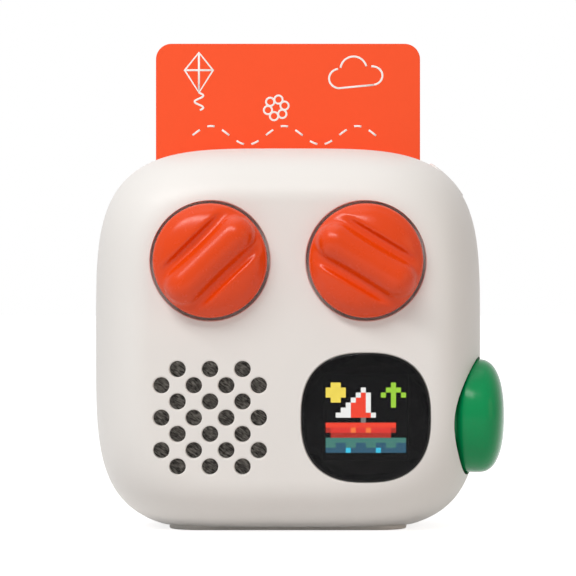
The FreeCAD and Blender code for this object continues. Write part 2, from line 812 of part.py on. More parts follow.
# ---------------------------------------------------------------- loudspeaker
def speaker_basket(x, inner):
    """Basket with three ears and a cup around the magnet."""
    magnet_start = speaker_depth - magnet_height
    neck = magnet_radius + basket_cup
    frame = lathe_y([
        (inner, 0), (speaker_radius, 0), (speaker_radius, speaker_rim),
        (speaker_radius - basket_wall, speaker_rim),
        (neck, magnet_start - basket_wall), (neck, magnet_start + basket_cup),
        (magnet_radius + touch_gap, magnet_start + basket_cup),
        (magnet_radius + touch_gap, magnet_start - basket_cup),
        (inner, speaker_rim - touch_gap)], x, z_lower, y_speaker)
    parts, holes = [frame], []
    for ear_x, ear_z in ear_places():
        ear = rod_y(ear_x, ear_z, ear_radius, y_speaker, y_speaker + speaker_rim)
        parts.append(ear.cut(rod_y(x, z_lower, inner + basket_wall, y_speaker - 1, y_speaker + 2)))
        holes.append(rod_y(ear_x, ear_z, small_screw_radius + screw_hole_gap, y_speaker - 1, y_speaker + 2))
    return join(parts).cut(holes)


def speaker_surround(x, inner):
    """Half-round roll between the basket and the cone."""
    roll = (inner - cone_radius) / 2 - touch_gap
    middle = (inner + cone_radius) / 2
    outer_arc, inner_arc = [], []
    for step in range(roll_steps + 1):
        turn = math.pi * step / roll_steps
        across, up = math.cos(turn), math.sin(turn) * roll_share
        outer_arc.append((middle - roll * across, roll_foot - roll * up))
        inner_arc.append((middle - (roll - roll_wall) * across, roll_foot - (roll - roll_wall) * up))
    return lathe_y(outer_arc + inner_arc[::-1], x, z_lower, y_speaker)


def make_speaker():
    """Loudspeaker of five pieces behind its cloth."""
    x = -column_offset
    inner = speaker_radius - basket_width
    cap_radius = coil_radius * 0.6
    low, cap = cone_height + cone_drop, cone_height + cap_drop
    cone = lathe_y([
        (0, cap), (cap_radius, cap + 0.2), (coil_radius, low), (cone_radius, cone_height),
        (cone_radius, cone_height + cone_thickness), (coil_radius, low + cone_thickness),
        (cap_radius, cap + 0.2 + cone_thickness), (0, cap + cone_thickness)], x, z_lower, y_speaker)
    y_coil = y_speaker + low + cone_thickness + touch_gap
    coil = rod_y(x, z_lower, coil_radius, y_coil, y_coil + coil_length)
    coil = coil.cut(rod_y(x, z_lower, coil_radius - coil_wall, y_coil - 1, y_coil + coil_length + 1))
    y_back = y_speaker + speaker_depth
    y_magnet = y_back - magnet_height
    gap = rod_y(x, z_lower, coil_radius + coil_gap, y_magnet - 1, y_coil + coil_length + coil_gap)
    gap = gap.cut(rod_y(x, z_lower, coil_radius - coil_wall - coil_gap, y_magnet - 2, y_back))
    magnet = rod_y(x, z_lower, magnet_radius, y_magnet, y_back).cut(gap)
    cloth = rod_y(x, z_lower, cloth_radius, y_grille_back, y_grille_back + cloth_thickness)
    return {"speaker_cloth": cloth, "speaker_frame": speaker_basket(x, inner),
            "speaker_surround": speaker_surround(x, inner),
            "speaker_cone": cone, "speaker_voice_coil": coil, "speaker_magnet": magnet}


# ---------------------------------------------------------------- display
def make_display():
    """Window, tape, light grid, light board and its lights."""
    lens = lens_prism(0, y_front, y_lens_back - tape_thickness)
    rim = [e for e in lens.Edges if e.isClosed() and e.BoundBox.YMax < y_front + 0.01]
    lens = lens.makeFillet(lens_round, rim)
    tape = lens_prism(-tape_margin, y_lens_back - tape_thickness, y_lens_back)
    tape = tape.cut(display_square(window_half, y_front, y_led_board))
    grid_half = window_half - grid_gap
    y_film = y_lens_back - touch_gap
    diffuser = display_square(grid_half, y_film - diffuser_thickness, y_film)
    y_grid_end = y_led_board - led_height - touch_gap
    grid = display_square(grid_half, y_lens_back, y_grid_end)
    cells, lights = [], []
    cell = (pixel_pitch - grid_rib) / 2
    first = -(pixels - 1) / 2
    for row in range(pixels):
        z = z_lower + (first + row) * pixel_pitch
        for column in range(pixels):
            x = column_offset + (first + column) * pixel_pitch
            cells.append(box(x - cell, x + cell, y_lens_back - 1, y_grid_end + 1, z - cell, z + cell))
            lights.append(box(x - led_side / 2, x + led_side / 2, y_led_board - led_height, y_led_board,
                              z - led_side / 2, z + led_side / 2))
    board = display_square(led_board_side / 2, y_led_board, y_led_board + led_board_thickness)
    z_header = z_lower - header_drop
    header = box(column_offset - header_width / 2, column_offset + header_width / 2,
                 y_led_board + led_board_thickness, y_board,
                 z_header - header_height / 2, z_header + header_height / 2)
    return {"display_lens": lens, "lens_tape": tape, "display_diffuser": diffuser,
            "pixel_grid": grid.cut(Part.makeCompound(cells)),
            "display_lights": Part.makeCompound(lights), "display_board": board,
            "display_header": header}


# ---------------------------------------------------------------- power button
def pebble_arc(half_depth, stop_radius):
    """Points of the button's round form from its equator towards stop_radius, as (height, radius)."""
    limit = (1 - (stop_radius / button_radius) ** button_power) ** (1 / button_power)
    end = math.atan2(limit, stop_radius / button_radius)
    points = []
    for step in range(pebble_steps + 1):
        turn = end * step / pebble_steps
        out, up = math.cos(turn), math.sin(turn)
        reach = (out ** button_power + up ** button_power) ** (-1 / button_power)
        points.append((half_depth * reach * up, button_radius * reach * out))
    return points


def button_edge(points):
    """Spline through (height, radius) points in the plane of the button's axis."""
    spots = [Vector(x_equator + height, y_button - radius, z_button) for height, radius in points]
    curve = Part.BSplineCurve()
    curve.interpolate(Points=spots)
    return curve.toShape()


def make_button():
    """Hollow pebble button with a guide skirt and a stem."""
    crown = pebble_arc(button_crown, 0)
    belly = pebble_arc(-button_belly, button_skirt)
    stem_end = switch_face() + switch_plunger_out + touch_gap
    cup_top = x_equator + button_crown - cup_skin
    corners = [(x_equator + belly[-1][0], belly[-1][1]), (x_retainer, button_skirt),
               (x_retainer, retainer_bore - touch_gap), (x_retainer_end, retainer_bore - touch_gap),
               (x_retainer_end, cup_radius), (cup_top, cup_radius), (cup_top, stem_radius),
               (stem_end, stem_radius), (stem_end, 0), (x_equator + button_crown, 0)]
    spots = [Vector(x, y_button - radius, z_button) for x, radius in corners]
    edges = [button_edge(crown), button_edge(belly)]
    edges += [Part.makeLine(spots[i], spots[i + 1]) for i in range(len(spots) - 1)]
    face = Part.Face(Part.Wire(Part.__sortEdges__(edges)))
    return face.revolve(Vector(0, y_button, z_button), Vector(1, 0, 0), 360)


def make_retainer():
    """Ring pressed on the button's skirt from inside, which keeps it in its guide."""
    ring = rod_x(y_button, z_button, retainer_radius, x_retainer_end, x_retainer)
    return ring.cut(rod_x(y_button, z_button, retainer_bore, x_retainer_end - 1, x_retainer + 1))


def switch_face():
    """Level of the switch body's face, clear of the pressed button."""
    return x_retainer_end - button_travel - switch_clearance


def make_power_switch():
    """Switch body and plunger on the main board, and the gasket under the button."""
    face = switch_face()
    pocket = face - switch_plunger_in - switch_spring_room
    body = box(face - switch_side, face, y_button - switch_height / 2, y_board,
               z_button - switch_side / 2, z_button + switch_side / 2)
    body = body.cut(rod_x(y_button, z_button, switch_plunger_radius + bearing_gap, pocket, face + 1))
    plunger = rod_x(y_button, z_button, switch_plunger_radius,
                    face - switch_plunger_in, face + switch_plunger_out)
    step = case_half - guide_step
    gasket = rod_x(y_button, z_button, button_radius, step, step + gasket_thickness)
    gasket = gasket.cut(rod_x(y_button, z_button, button_skirt + guide_gap + gasket_gap, step - 1, step + 1))
    return {"power_button": make_button(), "button_retainer": make_retainer(),
            "power_switch_body": body, "power_switch_plunger": plunger, "button_gasket": gasket}


# ---------------------------------------------------------------- card and pocket
def make_card():
    """Standard-size plastic card."""
    return rounded_plate(card_width, card_length, card_corner, 0, z_card + touch_gap + card_length / 2,
                         y_card_front, y_card_back)


def make_spring():
    """Bowed leaf spring that keeps the card against the pocket's front wall."""
    y_wall = y_card_back + card_gap_face
    reach = spring_length / 2 + spring_window_end
    middle = Vector(-spring_width / 2, y_card_back + spring_thickness + spring_card_gap, level_height)
    ends = [Vector(-spring_width / 2, y_wall + spring_bow, level_height + side * reach) for side in (-1, 1)]
    strip = Part.Arc(ends[0], middle, ends[1]).toShape().extrude(Vector(spring_width, 0, 0))
    return strip.extrude(Vector(0, -spring_thickness, 0))


def make_chute():
    """Pocket that holds the card, its leaf spring and the reader's antenna board."""
    z_top = z_throat - chute_top_gap
    chute = box(-chute_half, chute_half, y_chute, y_chute_back, z_chute, z_top)
    for side in (-1, 1):
        inner, outer = sorted((side * (chute_half - tab_root), side * (chute_half + tab_width)))
        tab = box(inner, outer, y_chute_back - chute_wall, y_chute_back,
                  z_tab - tab_height / 2, z_tab + tab_height / 2)
        chute = chute.fuse(tab)
    across = spring_width / 2 + spring_window_side
    along = spring_length / 2 + spring_window_end
    window = box(-across, across, y_card_back + card_gap_face - 0.1, y_chute_back + 1,
                 level_height - along, level_height + along)
    cuts = [slot_block(0, z_card, z_top + 1), window]
    for side in (-1, 1):
        cuts.append(rod_y(side * tab_x, z_tab, small_screw_radius + screw_hole_gap,
                          y_chute, y_chute_back + 1))
    half = reader_side / 2
    reader = box(-half, half, y_chute - reader_thickness, y_chute, level_height - half, level_height + half)
    z_header = level_height - reader_header_drop
    header = box(-reader_header_width / 2, reader_header_width / 2, y_board_back, y_chute - reader_thickness,
                 z_header - header_height / 2, z_header + header_height / 2)
    return {"card_chute": chute.removeSplitter().cut(cuts), "card_spring": make_spring(),
            "reader_board": reader, "reader_header": header}


# ---------------------------------------------------------------- electronics
def board_outline():
    """Corners of the main board, as (x, z)."""
    left = case_half - wall - board_side_gap
    step_x = x_retainer_end - button_travel - retainer_clearance
    return [(-left, z_board_low), (step_x, z_board_low), (step_x, step_level), (left, step_level),
            (left, board_high), (-left, board_high)]


def make_boards():
    """Main board with its chips, and the battery with its foam and tape."""
    corners = [Vector(x, y_board, z) for x, z in board_outline()]
    board = Part.Face(Part.makePolygon(corners + corners[:1])).extrude(Vector(0, board_thickness, 0))
    board = board.cut([rod_y(x, z, small_screw_radius + screw_hole_gap, y_board - 1, y_board_back + 1)
                       for x, z in board_screws_at])
    chips = Part.makeCompound([
        box(x - wide / 2, x + wide / 2, y_board_back, y_board_back + high,
            level_height + rise - long / 2, level_height + rise + long / 2)
        for x, rise, wide, long, high in chip_plan])
    y_cell = y_chute_back + foam_thickness
    y_cell_end = y_rear - wall - battery_tape
    z_middle = socket_rise + charge_board_height / 2 + battery_gap + battery_height / 2
    battery = rounded_plate(battery_width, battery_height, battery_corner, 0, z_middle, y_cell, y_cell_end)
    foam = rounded_plate(battery_width - 2 * foam_margin, battery_height - 2 * foam_margin, pad_round,
                         0, z_middle + foam_rise, y_chute_back, y_cell)
    tape = rounded_plate(battery_width - 2 * battery_tape_margin, battery_height - 2 * battery_tape_margin,
                         pad_round, 0, z_middle, y_cell_end, y_rear - wall)
    return {"main_board": board, "board_chips": chips, "battery": battery,
            "battery_foam": foam, "battery_tape": tape}


def make_charging():
    """Charging socket on its own small board."""
    half = charge_board_width / 2
    board = box(-half, half, y_charge_board - charge_board_thickness, y_charge_board,
                socket_rise - charge_board_height / 2, socket_rise + charge_board_height / 2)
    board = board.cut([rod_y(side * charge_screw_offset, socket_rise, small_screw_radius + screw_hole_gap,
                             y_charge_board - 3, y_charge_board + 1) for side in (-1, 1)])
    y_mouth = y_rear - socket_inset
    socket = port_block(0, y_charge_board, y_mouth)
    socket = socket.cut(port_block(-socket_wall, y_charge_board + socket_back, y_mouth + 1))
    tongue = box(-tongue_width / 2, tongue_width / 2,
                 y_charge_board + socket_back / 2, y_mouth - tongue_inset,
                 socket_rise - tongue_thickness / 2, socket_rise + tongue_thickness / 2)
    return {"charge_board": board, "usb_c_socket": socket.fuse(tongue).removeSplitter()}


def make_headphone_jack():
    """Headphone socket along the case's upper right diagonal, and the bezel around it."""
    seat = corner_distance - bezel_seat
    nose_low = seat - jack_nose_length
    side = jack_body_side / 2
    body = Part.makeBox(jack_body_side, jack_body_side, jack_body_length,
                        Vector(-side, -side, nose_low - jack_body_length))
    body.rotate(Vector(0, 0, 0), Vector(0, 1, 0), 45)
    body.translate(Vector(0, y_jack, level_height))
    jack = body.fuse(rod_jack(jack_nose_radius, nose_low - 0.5, seat)).removeSplitter()
    jack = jack.cut(rod_jack(jack_bore, seat - jack_bore_length, seat + 1))
    crown_radius = (bezel_radius ** 2 + bezel_crown ** 2) / (2 * bezel_crown)
    middle = Vector(0, y_jack, level_height) + jack_axis * (corner_distance + bezel_proud - crown_radius)
    bezel = rod_jack(bezel_radius, seat, corner_distance + wall)
    bezel = bezel.common(Part.makeSphere(crown_radius, middle))
    bezel = bezel.cut(rod_jack(bezel_hole, seat - 1, corner_distance + wall))
    return {"headphone_jack": jack, "jack_bezel": bezel}


def lead(points, radius):
    """Round lead along straight runs joined by tangent arcs."""
    edges = []
    start = points[0]
    for before, corner, after in zip(points, points[1:], points[2:]):
        way_in = (corner - before).normalize()
        way_out = (after - corner).normalize()
        turn = way_in.getAngle(way_out)
        run = min((corner - before).Length, (after - corner).Length)
        reach = 0.45 * run
        bisector = (way_out - way_in).normalize()
        bend = reach / math.tan(turn / 2)
        middle = corner + bisector * (bend / math.cos(turn / 2) - bend)
        arc_start, arc_end = corner - way_in * reach, corner + way_out * reach
        edges.append(Part.LineSegment(start, arc_start).toShape())
        edges.append(Part.Arc(arc_start, middle, arc_end).toShape())
        start = arc_end
    edges.append(Part.LineSegment(start, points[-1]).toShape())
    path = Part.Wire(edges)
    section = Part.Wire([Part.makeCircle(radius, points[0], points[1] - points[0])])
    return path.makePipeShell([section], True, True)


def make_leads():
    """Leads and the flat ribbon between the boards."""
    x = -column_offset
    y_terminal = y_speaker + speaker_depth
    speaker = []
    for gap in (-1.0, 1.0):
        speaker.append(lead([
            Vector(x + 5 + gap, y_terminal, z_lower), Vector(x + 5 + gap, y_terminal + 2.6, z_lower),
            Vector(x + 8 + gap, y_terminal + 3.0, z_lower + 2), Vector(x + 8 + gap, y_board, z_lower + 2)],
            lead_radius))
    side = chute_half + lead_room
    y_cell = (y_chute_back + foam_thickness + y_rear - wall - battery_tape) / 2
    z_lead = level_height + lead_rise
    battery = []
    for gap in (-lead_spacing / 2, lead_spacing / 2):
        z = z_lead + gap
        battery.append(lead([
            Vector(-battery_width / 2, y_cell, z), Vector(-side + 2, y_cell, z),
            Vector(-side - 0.6, y_cell - 3.5, z), Vector(-side - 0.6, y_board_back + 5.5, z),
            Vector(-side + 5, y_board_back + 3.2, z), Vector(-side + 5, y_board_back, z)], lead_radius))
    return {"speaker_leads": Part.makeCompound(speaker), "battery_leads": Part.makeCompound(battery),
            "charge_ribbon": make_ribbon()}


def make_ribbon():
    """Flat ribbon from the charging board, under the pocket, to the main board."""
    z_start = socket_rise - charge_board_height / 2 + 1.5
    z_run = (z_floor + z_chute) / 2 + 1.5
    y_a = y_charge_board - charge_board_thickness
    y_b = y_board_back + 1.4
    left, right = -ribbon_offset - ribbon_width / 2, -ribbon_offset + ribbon_width / 2
    path = [(y_a - ribbon_thickness, z_start), (y_a - ribbon_thickness, z_run),
            (y_b, z_run), (y_b, z_board_low + 2), (y_board_back, z_board_low + 2)]
    pieces = []
    for (y0, z0), (y1, z1) in zip(path, path[1:]):
        low_y, high_y = min(y0, y1), max(y0, y1) + ribbon_thickness
        low_z, high_z = min(z0, z1), max(z0, z1) + ribbon_thickness
        pieces.append(box(left, right, low_y, high_y, low_z, high_z))
    return join(pieces)


def make_foot_pad():
    """Soft pad the player stands on, bedded in both shells."""
    return pad_block(0, 0, foot_gap + pad_recess)


# ---------------------------------------------------------------- assembly
def main():
    """Write one STEP file for each piece."""
    os.makedirs("parts", exist_ok=True)
    nodes = {"front_shell": make_front_shell(),
             "rear_shell": make_rear_shell(),
             "base_foot_pad": make_foot_pad(),
             "audio_card": make_card()}
    nodes.update(make_fasteners())
    nodes.update(make_knobs())
    nodes.update(make_speaker())
    nodes.update(make_display())
    nodes.update(make_power_switch())
    nodes.update(make_chute())
    nodes.update(make_boards())
    nodes.update(make_charging())
    nodes.update(make_headphone_jack())
    nodes.update(make_leads())
    for name, shape in nodes.items():
        shape.exportStep("parts/" + name + ".step")
        print(name, len(shape.Solids), round(shape.Volume, 2), shape.isValid())


main()
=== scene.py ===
# %% [markdown]
# # An audio story player for small children
# The player is a soft squircle case of cream plastic with two orange turn-and-press
# knobs, a speaker grille, a dark window over a small pixel display, a round green
# button in its side and a card that stands in a slot in its crown. The construction
# model gives the place of every piece. Here each piece that shows gets its real
# surface, and each piece inside gets its finish.

# %% The frame
import bpy
import bmesh
import json
import math
from mathutils import Matrix, Vector


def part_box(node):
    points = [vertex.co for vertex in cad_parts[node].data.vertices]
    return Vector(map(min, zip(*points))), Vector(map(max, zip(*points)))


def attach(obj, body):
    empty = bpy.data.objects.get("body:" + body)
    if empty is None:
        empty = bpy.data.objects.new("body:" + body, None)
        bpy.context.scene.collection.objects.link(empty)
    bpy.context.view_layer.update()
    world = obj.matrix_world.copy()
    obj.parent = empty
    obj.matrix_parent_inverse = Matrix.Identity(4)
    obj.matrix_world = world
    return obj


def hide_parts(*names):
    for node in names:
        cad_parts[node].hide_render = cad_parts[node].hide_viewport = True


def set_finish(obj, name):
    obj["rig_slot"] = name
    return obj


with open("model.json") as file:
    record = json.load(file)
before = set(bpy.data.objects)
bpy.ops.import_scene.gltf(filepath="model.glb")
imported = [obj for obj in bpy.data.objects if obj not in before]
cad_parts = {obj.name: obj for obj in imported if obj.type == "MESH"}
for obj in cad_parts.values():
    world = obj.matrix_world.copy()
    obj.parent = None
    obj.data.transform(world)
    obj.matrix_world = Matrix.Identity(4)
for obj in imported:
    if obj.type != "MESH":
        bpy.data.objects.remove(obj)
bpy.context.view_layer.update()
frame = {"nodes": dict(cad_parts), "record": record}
nodes = frame["nodes"]
mm = 0.001

# %% [markdown]
# ## Camera, light and floor
# The camera stands level, a little over half a metre in front, with a long lens, so
# the case keeps nearly parallel sides. A wide soft lamp high on the left models the
# round forms. A weaker one over the crown and a faint warm one on the right reach the
# far sides, and a pale room fills the shadows. The room is plain white to the camera,
# to mirrors and to glass.

# %% Camera
view_distance = 598.5 * mm
view_height = 47.8 * mm
framing_distance = 600 * mm
frame_width = 115.93 * mm
sensor_width = 36.0
near_clip = 10 * mm

bpy.ops.object.select_all(action="DESELECT")
bpy.ops.object.camera_add(location=(0, -view_distance, view_height), rotation=(math.pi / 2, 0, 0))
camera = bpy.context.object
camera.data.sensor_width = sensor_width
camera.data.lens = sensor_width * framing_distance / frame_width
camera.data.clip_start = near_clip
bpy.context.scene.camera = camera
bpy.context.scene.view_settings.view_transform = "Standard"
print("camera lens", round(camera.data.lens, 1), "mm")

# %% Lamps
case_middle = Vector((0, 0, 40 * mm))


def soft_lamp(name, place, size, watts, tint):
    """Area lamp of a (width, height) that points at the middle of the case."""
    bpy.ops.object.select_all(action="DESELECT")
    bpy.ops.object.light_add(type="AREA", location=place)
    lamp = bpy.context.object
    lamp.name = name
    lamp.rotation_euler = (case_middle - Vector(place)).to_track_quat("-Z", "Y").to_euler()
    lamp.data.shape = "RECTANGLE"
    lamp.data.size, lamp.data.size_y = size
    lamp.data.energy = watts
    lamp.data.color = tint


soft_lamp("key", place=(-0.24, -0.42, 0.57), size=(0.60, 0.15), watts=3.55, tint=(1.0, 0.99, 0.975))
soft_lamp("top", place=(-0.10, 0.06, 0.60), size=(0.45, 0.45), watts=0.5, tint=(1.0, 0.99, 0.97))
soft_lamp("side", place=(0.50, -0.30, 0.16), size=(0.30, 0.30), watts=0.27, tint=(1.0, 0.70, 0.46))

# %% Room
room_fill = 0.31
room_tint = (0.97, 0.985, 1.0, 1)
room_white = (1, 1, 1, 1)
floor_tone = (0.76, 0.75, 0.74)
floor_roughness = 0.8
floor_glow = 1 - min(floor_tone) * room_fill
floor_width = 6
floor_place = (0, 1.5, 0)


def seen_directly(tree):
    """1 for rays from the camera, from a mirror or through glass, else 0."""
    path = tree.nodes.new("ShaderNodeLightPath")
    seen = path.outputs["Is Camera Ray"]
    for name in ("Is Glossy Ray", "Is Transmission Ray"):
        either = tree.nodes.new("ShaderNodeMath")
        either.operation = "MAXIMUM"
        tree.links.new(seen, either.inputs[0])
        tree.links.new(path.outputs[name], either.inputs[1])
        seen = either.outputs[0]
    return seen


def show_apart(tree, lit, seen, output):
    """One shader for the light that is given or caught, another for where it is seen directly."""
    mix = tree.nodes.new("ShaderNodeMixShader")
    tree.links.new(seen_directly(tree), mix.inputs[0])
    tree.links.new(lit.outputs[0], mix.inputs[1])
    tree.links.new(seen.outputs[0], mix.inputs[2])
    tree.links.new(mix.outputs[0], tree.nodes[output].inputs["Surface"])


def white_room(room):
    """Room that lights at its own level and is plain white where it is seen."""
    room.use_nodes = True
    tree = room.node_tree
    fill = tree.nodes["Background"]
    fill.inputs["Color"].default_value = room_tint
    fill.inputs["Strength"].default_value = room_fill
    white = tree.nodes.new("ShaderNodeBackground")
    white.inputs["Color"].default_value = room_white
    show_apart(tree, fill, white, "World Output")


def pale_floor(material):
    """Floor that lies in shade as any floor does, and glows up to white where it is seen."""
    material.use_nodes = True
    tree = material.node_tree
    shaded = tree.nodes["Principled BSDF"]
    shaded.inputs["Base Color"].default_value = (*floor_tone, 1)
    shaded.inputs["Roughness"].default_value = floor_roughness
    glow = tree.nodes.new("ShaderNodeEmission")
    glow.inputs["Strength"].default_value = floor_glow
    both = tree.nodes.new("ShaderNodeAddShader")
    tree.links.new(shaded.outputs[0], both.inputs[0])
    tree.links.new(glow.outputs[0], both.inputs[1])
    show_apart(tree, shaded, both, "Material Output")


bpy.context.scene.world = bpy.data.worlds.new("pale room")
white_room(bpy.context.scene.world)

bpy.ops.object.select_all(action="DESELECT")
bpy.ops.mesh.primitive_plane_add(size=floor_width, location=floor_place)
floor = bpy.context.object
floor.name = "floor"
floor.data.materials.append(bpy.data.materials.new("pale floor"))
pale_floor(floor.data.materials[0])
print("room and floor ready")

# %% [markdown]
# ## Hands and tools
# A few helpers stand for what a hand does with the mouse: clear the selection, pick
# edges by their place, stack rings into a form, cut with a second body. Faces and
# edges are picked by where they lie or face, because their numbers change with
# every cut.

# %% Selecting
merge_distance = 1e-7
plane_slack = 1e-6


def clear_selection():
    """Nothing selected, object mode."""
    if bpy.context.object and bpy.context.object.mode != "OBJECT":
        bpy.ops.object.mode_set(mode="OBJECT")
    bpy.ops.object.select_all(action="DESELECT")


def take(piece):
    """Only this piece selected and active."""
    clear_selection()
    piece.select_set(True)
    bpy.context.view_layer.objects.active = piece


def name_new(name):
    """Names the primitive just added and applies its place to its mesh."""
    piece = bpy.context.object
    piece.name = piece.data.name = name
    bpy.ops.object.transform_apply(location=True, rotation=True, scale=True)
    return piece


def pick(piece, kind, test):
    """Edit mode with the edges or faces selected that pass the test."""
    take(piece)
    bpy.ops.object.mode_set(mode="EDIT")
    bpy.ops.mesh.select_mode(type=kind)
    bpy.ops.mesh.select_all(action="DESELECT")
    mesh = bmesh.from_edit_mesh(piece.data)
    for item in {"EDGE": mesh.edges, "FACE": mesh.faces}[kind]:
        item.select_set(bool(test(item)))
    mesh.select_flush_mode()
    bmesh.update_edit_mesh(piece.data)


def leave_edit():
    """Back to object mode."""
    bpy.ops.object.mode_set(mode="OBJECT")


print("selecting tools ready")


# %% Joining and finishing
def use_modifier(piece, kind, **settings):
    """Adds a modifier, sets it and applies it."""
    take(piece)
    bpy.ops.object.modifier_add(type=kind)
    modifier = piece.modifiers[-1]
    for key, value in settings.items():
        setattr(modifier, key, value)
    bpy.ops.object.modifier_apply(modifier=modifier.name)


def combine(piece, tool, operation):
    """Boolean of a piece with a second body, which is used up."""
    use_modifier(piece, "BOOLEAN", object=tool, operation=operation, solver="EXACT")
    bpy.data.objects.remove(tool)


def join_tools(tools):
    """Several separate bodies in one object."""
    clear_selection()
    for tool in tools:
        tool.select_set(True)
    bpy.context.view_layer.objects.active = tools[0]
    bpy.ops.object.join()
    return bpy.context.object


def smooth(piece, degrees=35):
    """Smooth shading that keeps sharp edges and lets wide faces decide the normals."""
    take(piece)
    bpy.ops.object.shade_smooth_by_angle(angle=math.radians(degrees))
    use_modifier(piece, "WEIGHTED_NORMAL", keep_sharp=True, mode="FACE_AREA", weight=100)


def outward(piece):
    """Merges doubles and turns all faces outward."""
    take(piece)
    bpy.ops.object.mode_set(mode="EDIT")
    bpy.ops.mesh.select_all(action="SELECT")
    bpy.ops.mesh.remove_doubles(threshold=merge_distance)
    bpy.ops.mesh.normals_make_consistent(inside=False)
    leave_edit()


def settle(piece, node, body, slot):
    """The piece stands for a construction node, rides with its body and names its finish."""
    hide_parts(node)
    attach(piece, body)
    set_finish(piece, slot)
    print(piece.name, "has", len(piece.data.polygons), "faces")


print("joining tools ready")


# %% Rods, blocks and turned bodies
def rod(radius, start, end, sides=96):
    """Closed cylinder between two points."""
    start, end = Vector(start), Vector(end)
    run = end - start
    clear_selection()
    bpy.ops.mesh.primitive_cylinder_add(
        vertices=sides, radius=radius, depth=run.length, location=(start + end) / 2,
        rotation=run.to_track_quat("Z", "Y").to_euler())
    return name_new("rod")


def depth_rod(radius, x, z, y_start, y_end, sides=96):
    """Closed cylinder that runs from front to back."""
    return rod(radius, (x, y_start, z), (x, y_end, z), sides)


def block(low, high):
    """Closed box between two corners."""
    clear_selection()
    bpy.ops.mesh.primitive_cube_add(size=1, location=(Vector(low) + Vector(high)) / 2,
                                    scale=Vector(high) - Vector(low))
    return name_new("block")


def stack(piece, rings, axis, middle, kind):
    """Extrudes a whole flat piece through (distance, share of its size) steps along an axis.

    A filled face, with kind FACE, grows into a body, and an open ring, with kind EDGE,
    into a sleeve. The last ring stays selected in edit mode.
    """
    take(piece)
    bpy.ops.object.mode_set(mode="EDIT")
    bpy.ops.mesh.select_mode(type=kind)
    bpy.ops.mesh.select_all(action="SELECT")
    for (place, share), (next_place, next_share) in zip(rings, rings[1:]):
        bpy.ops.mesh.extrude_region_move(TRANSFORM_OT_translate={"value": axis * (next_place - place)})
        across = [1 + (next_share / share - 1) * (1 - abs(part)) for part in axis]
        bpy.ops.transform.resize(value=across, center_override=middle)


def grown(plate, rings, axis, middle):
    """Closed body that grows from a filled plate."""
    stack(plate, rings, axis, middle, "FACE")
    leave_edit()
    outward(plate)
    return plate


def turned(name, profile, middle, axis, sides=128):
    """Closed body turned about an axis from (distance, radius) pairs."""
    first_place, first_radius = profile[0]
    clear_selection()
    bpy.ops.mesh.primitive_circle_add(
        vertices=sides, radius=first_radius, location=Vector(middle) + axis * first_place,
        fill_type="NGON", rotation=axis.to_track_quat("Z", "Y").to_euler())
    plate = name_new(name)
    return grown(plate, [(place, radius / first_radius) for place, radius in profile], axis, middle)


print("shaping tools ready")

# %% [markdown]
# ## The case form
# Seen from the front the case is a squircle, between a square and a circle. Its
# faces round over to the sides in a soft curve. A beveled box would round its edges
# and leave flat sides, so an outline of the widest section is placed once and then
# extruded and shrunk ring by ring, which keeps the whole skin in even quads.

# %% Case sizes
case_half = 38.5 * mm
level_height = 37.7 * mm
crown_rise = 38.1 * mm
belly_drop = 38.7 * mm
upper_power = 4.0
lower_power = 4.2
face_flat_half = 26.95 * mm
dome_power = 2.2
front_dome_depth = 23 * mm
rear_dome_depth = 12 * mm
wall = 2.2 * mm
foot_gap = 0.8 * mm
seam = 0.12 * mm
outline_sides = 256
dome_steps = 26

X, Y, Z = Vector((1, 0, 0)), Vector((0, 1, 0)), Vector((0, 0, 1))
case_axis = Vector((0, 0, level_height))
front_low, front_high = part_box("front_shell")
y_front = front_low.y
y_part = front_high.y
y_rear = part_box("rear_shell")[1].y
y_wide = y_front + front_dome_depth
y_rear_wide = y_rear - rear_dome_depth
print("case from", y_front / mm, "to", y_rear / mm, "mm deep, parted at", y_part / mm)


# %% Squircle outlines
def squircle(turn, half, rise, drop, power_up, power_down):
    """Point of a squircle at a polar angle, about its middle."""
    across, up = math.cos(turn), math.sin(turn)
    height, power = (rise, power_up) if up > 0 else (drop, power_down)
    reach = (abs(across / half) ** power + abs(up / height) ** power) ** (-1 / power)
    return reach * across, reach * up


def squircle_plate(name, place, sides, fill, shape):
    """Flat ring or plate in the XZ plane whose corners lie on a squircle."""
    clear_selection()
    bpy.ops.mesh.primitive_circle_add(vertices=sides, radius=1, rotation=(math.pi / 2, 0, 0),
                                      fill_type="NGON" if fill else "NOTHING")
    piece = name_new(name)
    for vertex in piece.data.vertices:
        x, z = squircle(math.atan2(vertex.co.z, vertex.co.x), *shape)
        vertex.co = Vector(place) + Vector((x, 0, z))
    return piece


def case_plate(name, y, inset, fill):
    """The case's widest outline, moved in by an inset, at a depth y."""
    shape = (case_half - inset, crown_rise - inset, belly_drop - inset, upper_power, lower_power)
    return squircle_plate(name, (0, y, level_height), outline_sides, fill, shape)


print("outline of", outline_sides, "corners ready")


# %% Halves of the case
def round_over(half, y_start, y_end):
    """(depth, share) rings from the widest section to the edge of the flat face."""
    rings = []
    for step in range(1, dome_steps + 1):
        turn = math.pi / 2 * step / dome_steps
        out, forward = abs(math.cos(turn)), math.sin(turn)
        reach = (out ** dome_power + forward ** dome_power) ** (-1 / dome_power)
        share = (face_flat_half + (half - face_flat_half) * reach * out) / half
        rings.append((y_start + (y_end - y_start) * reach * forward, share))
    return rings


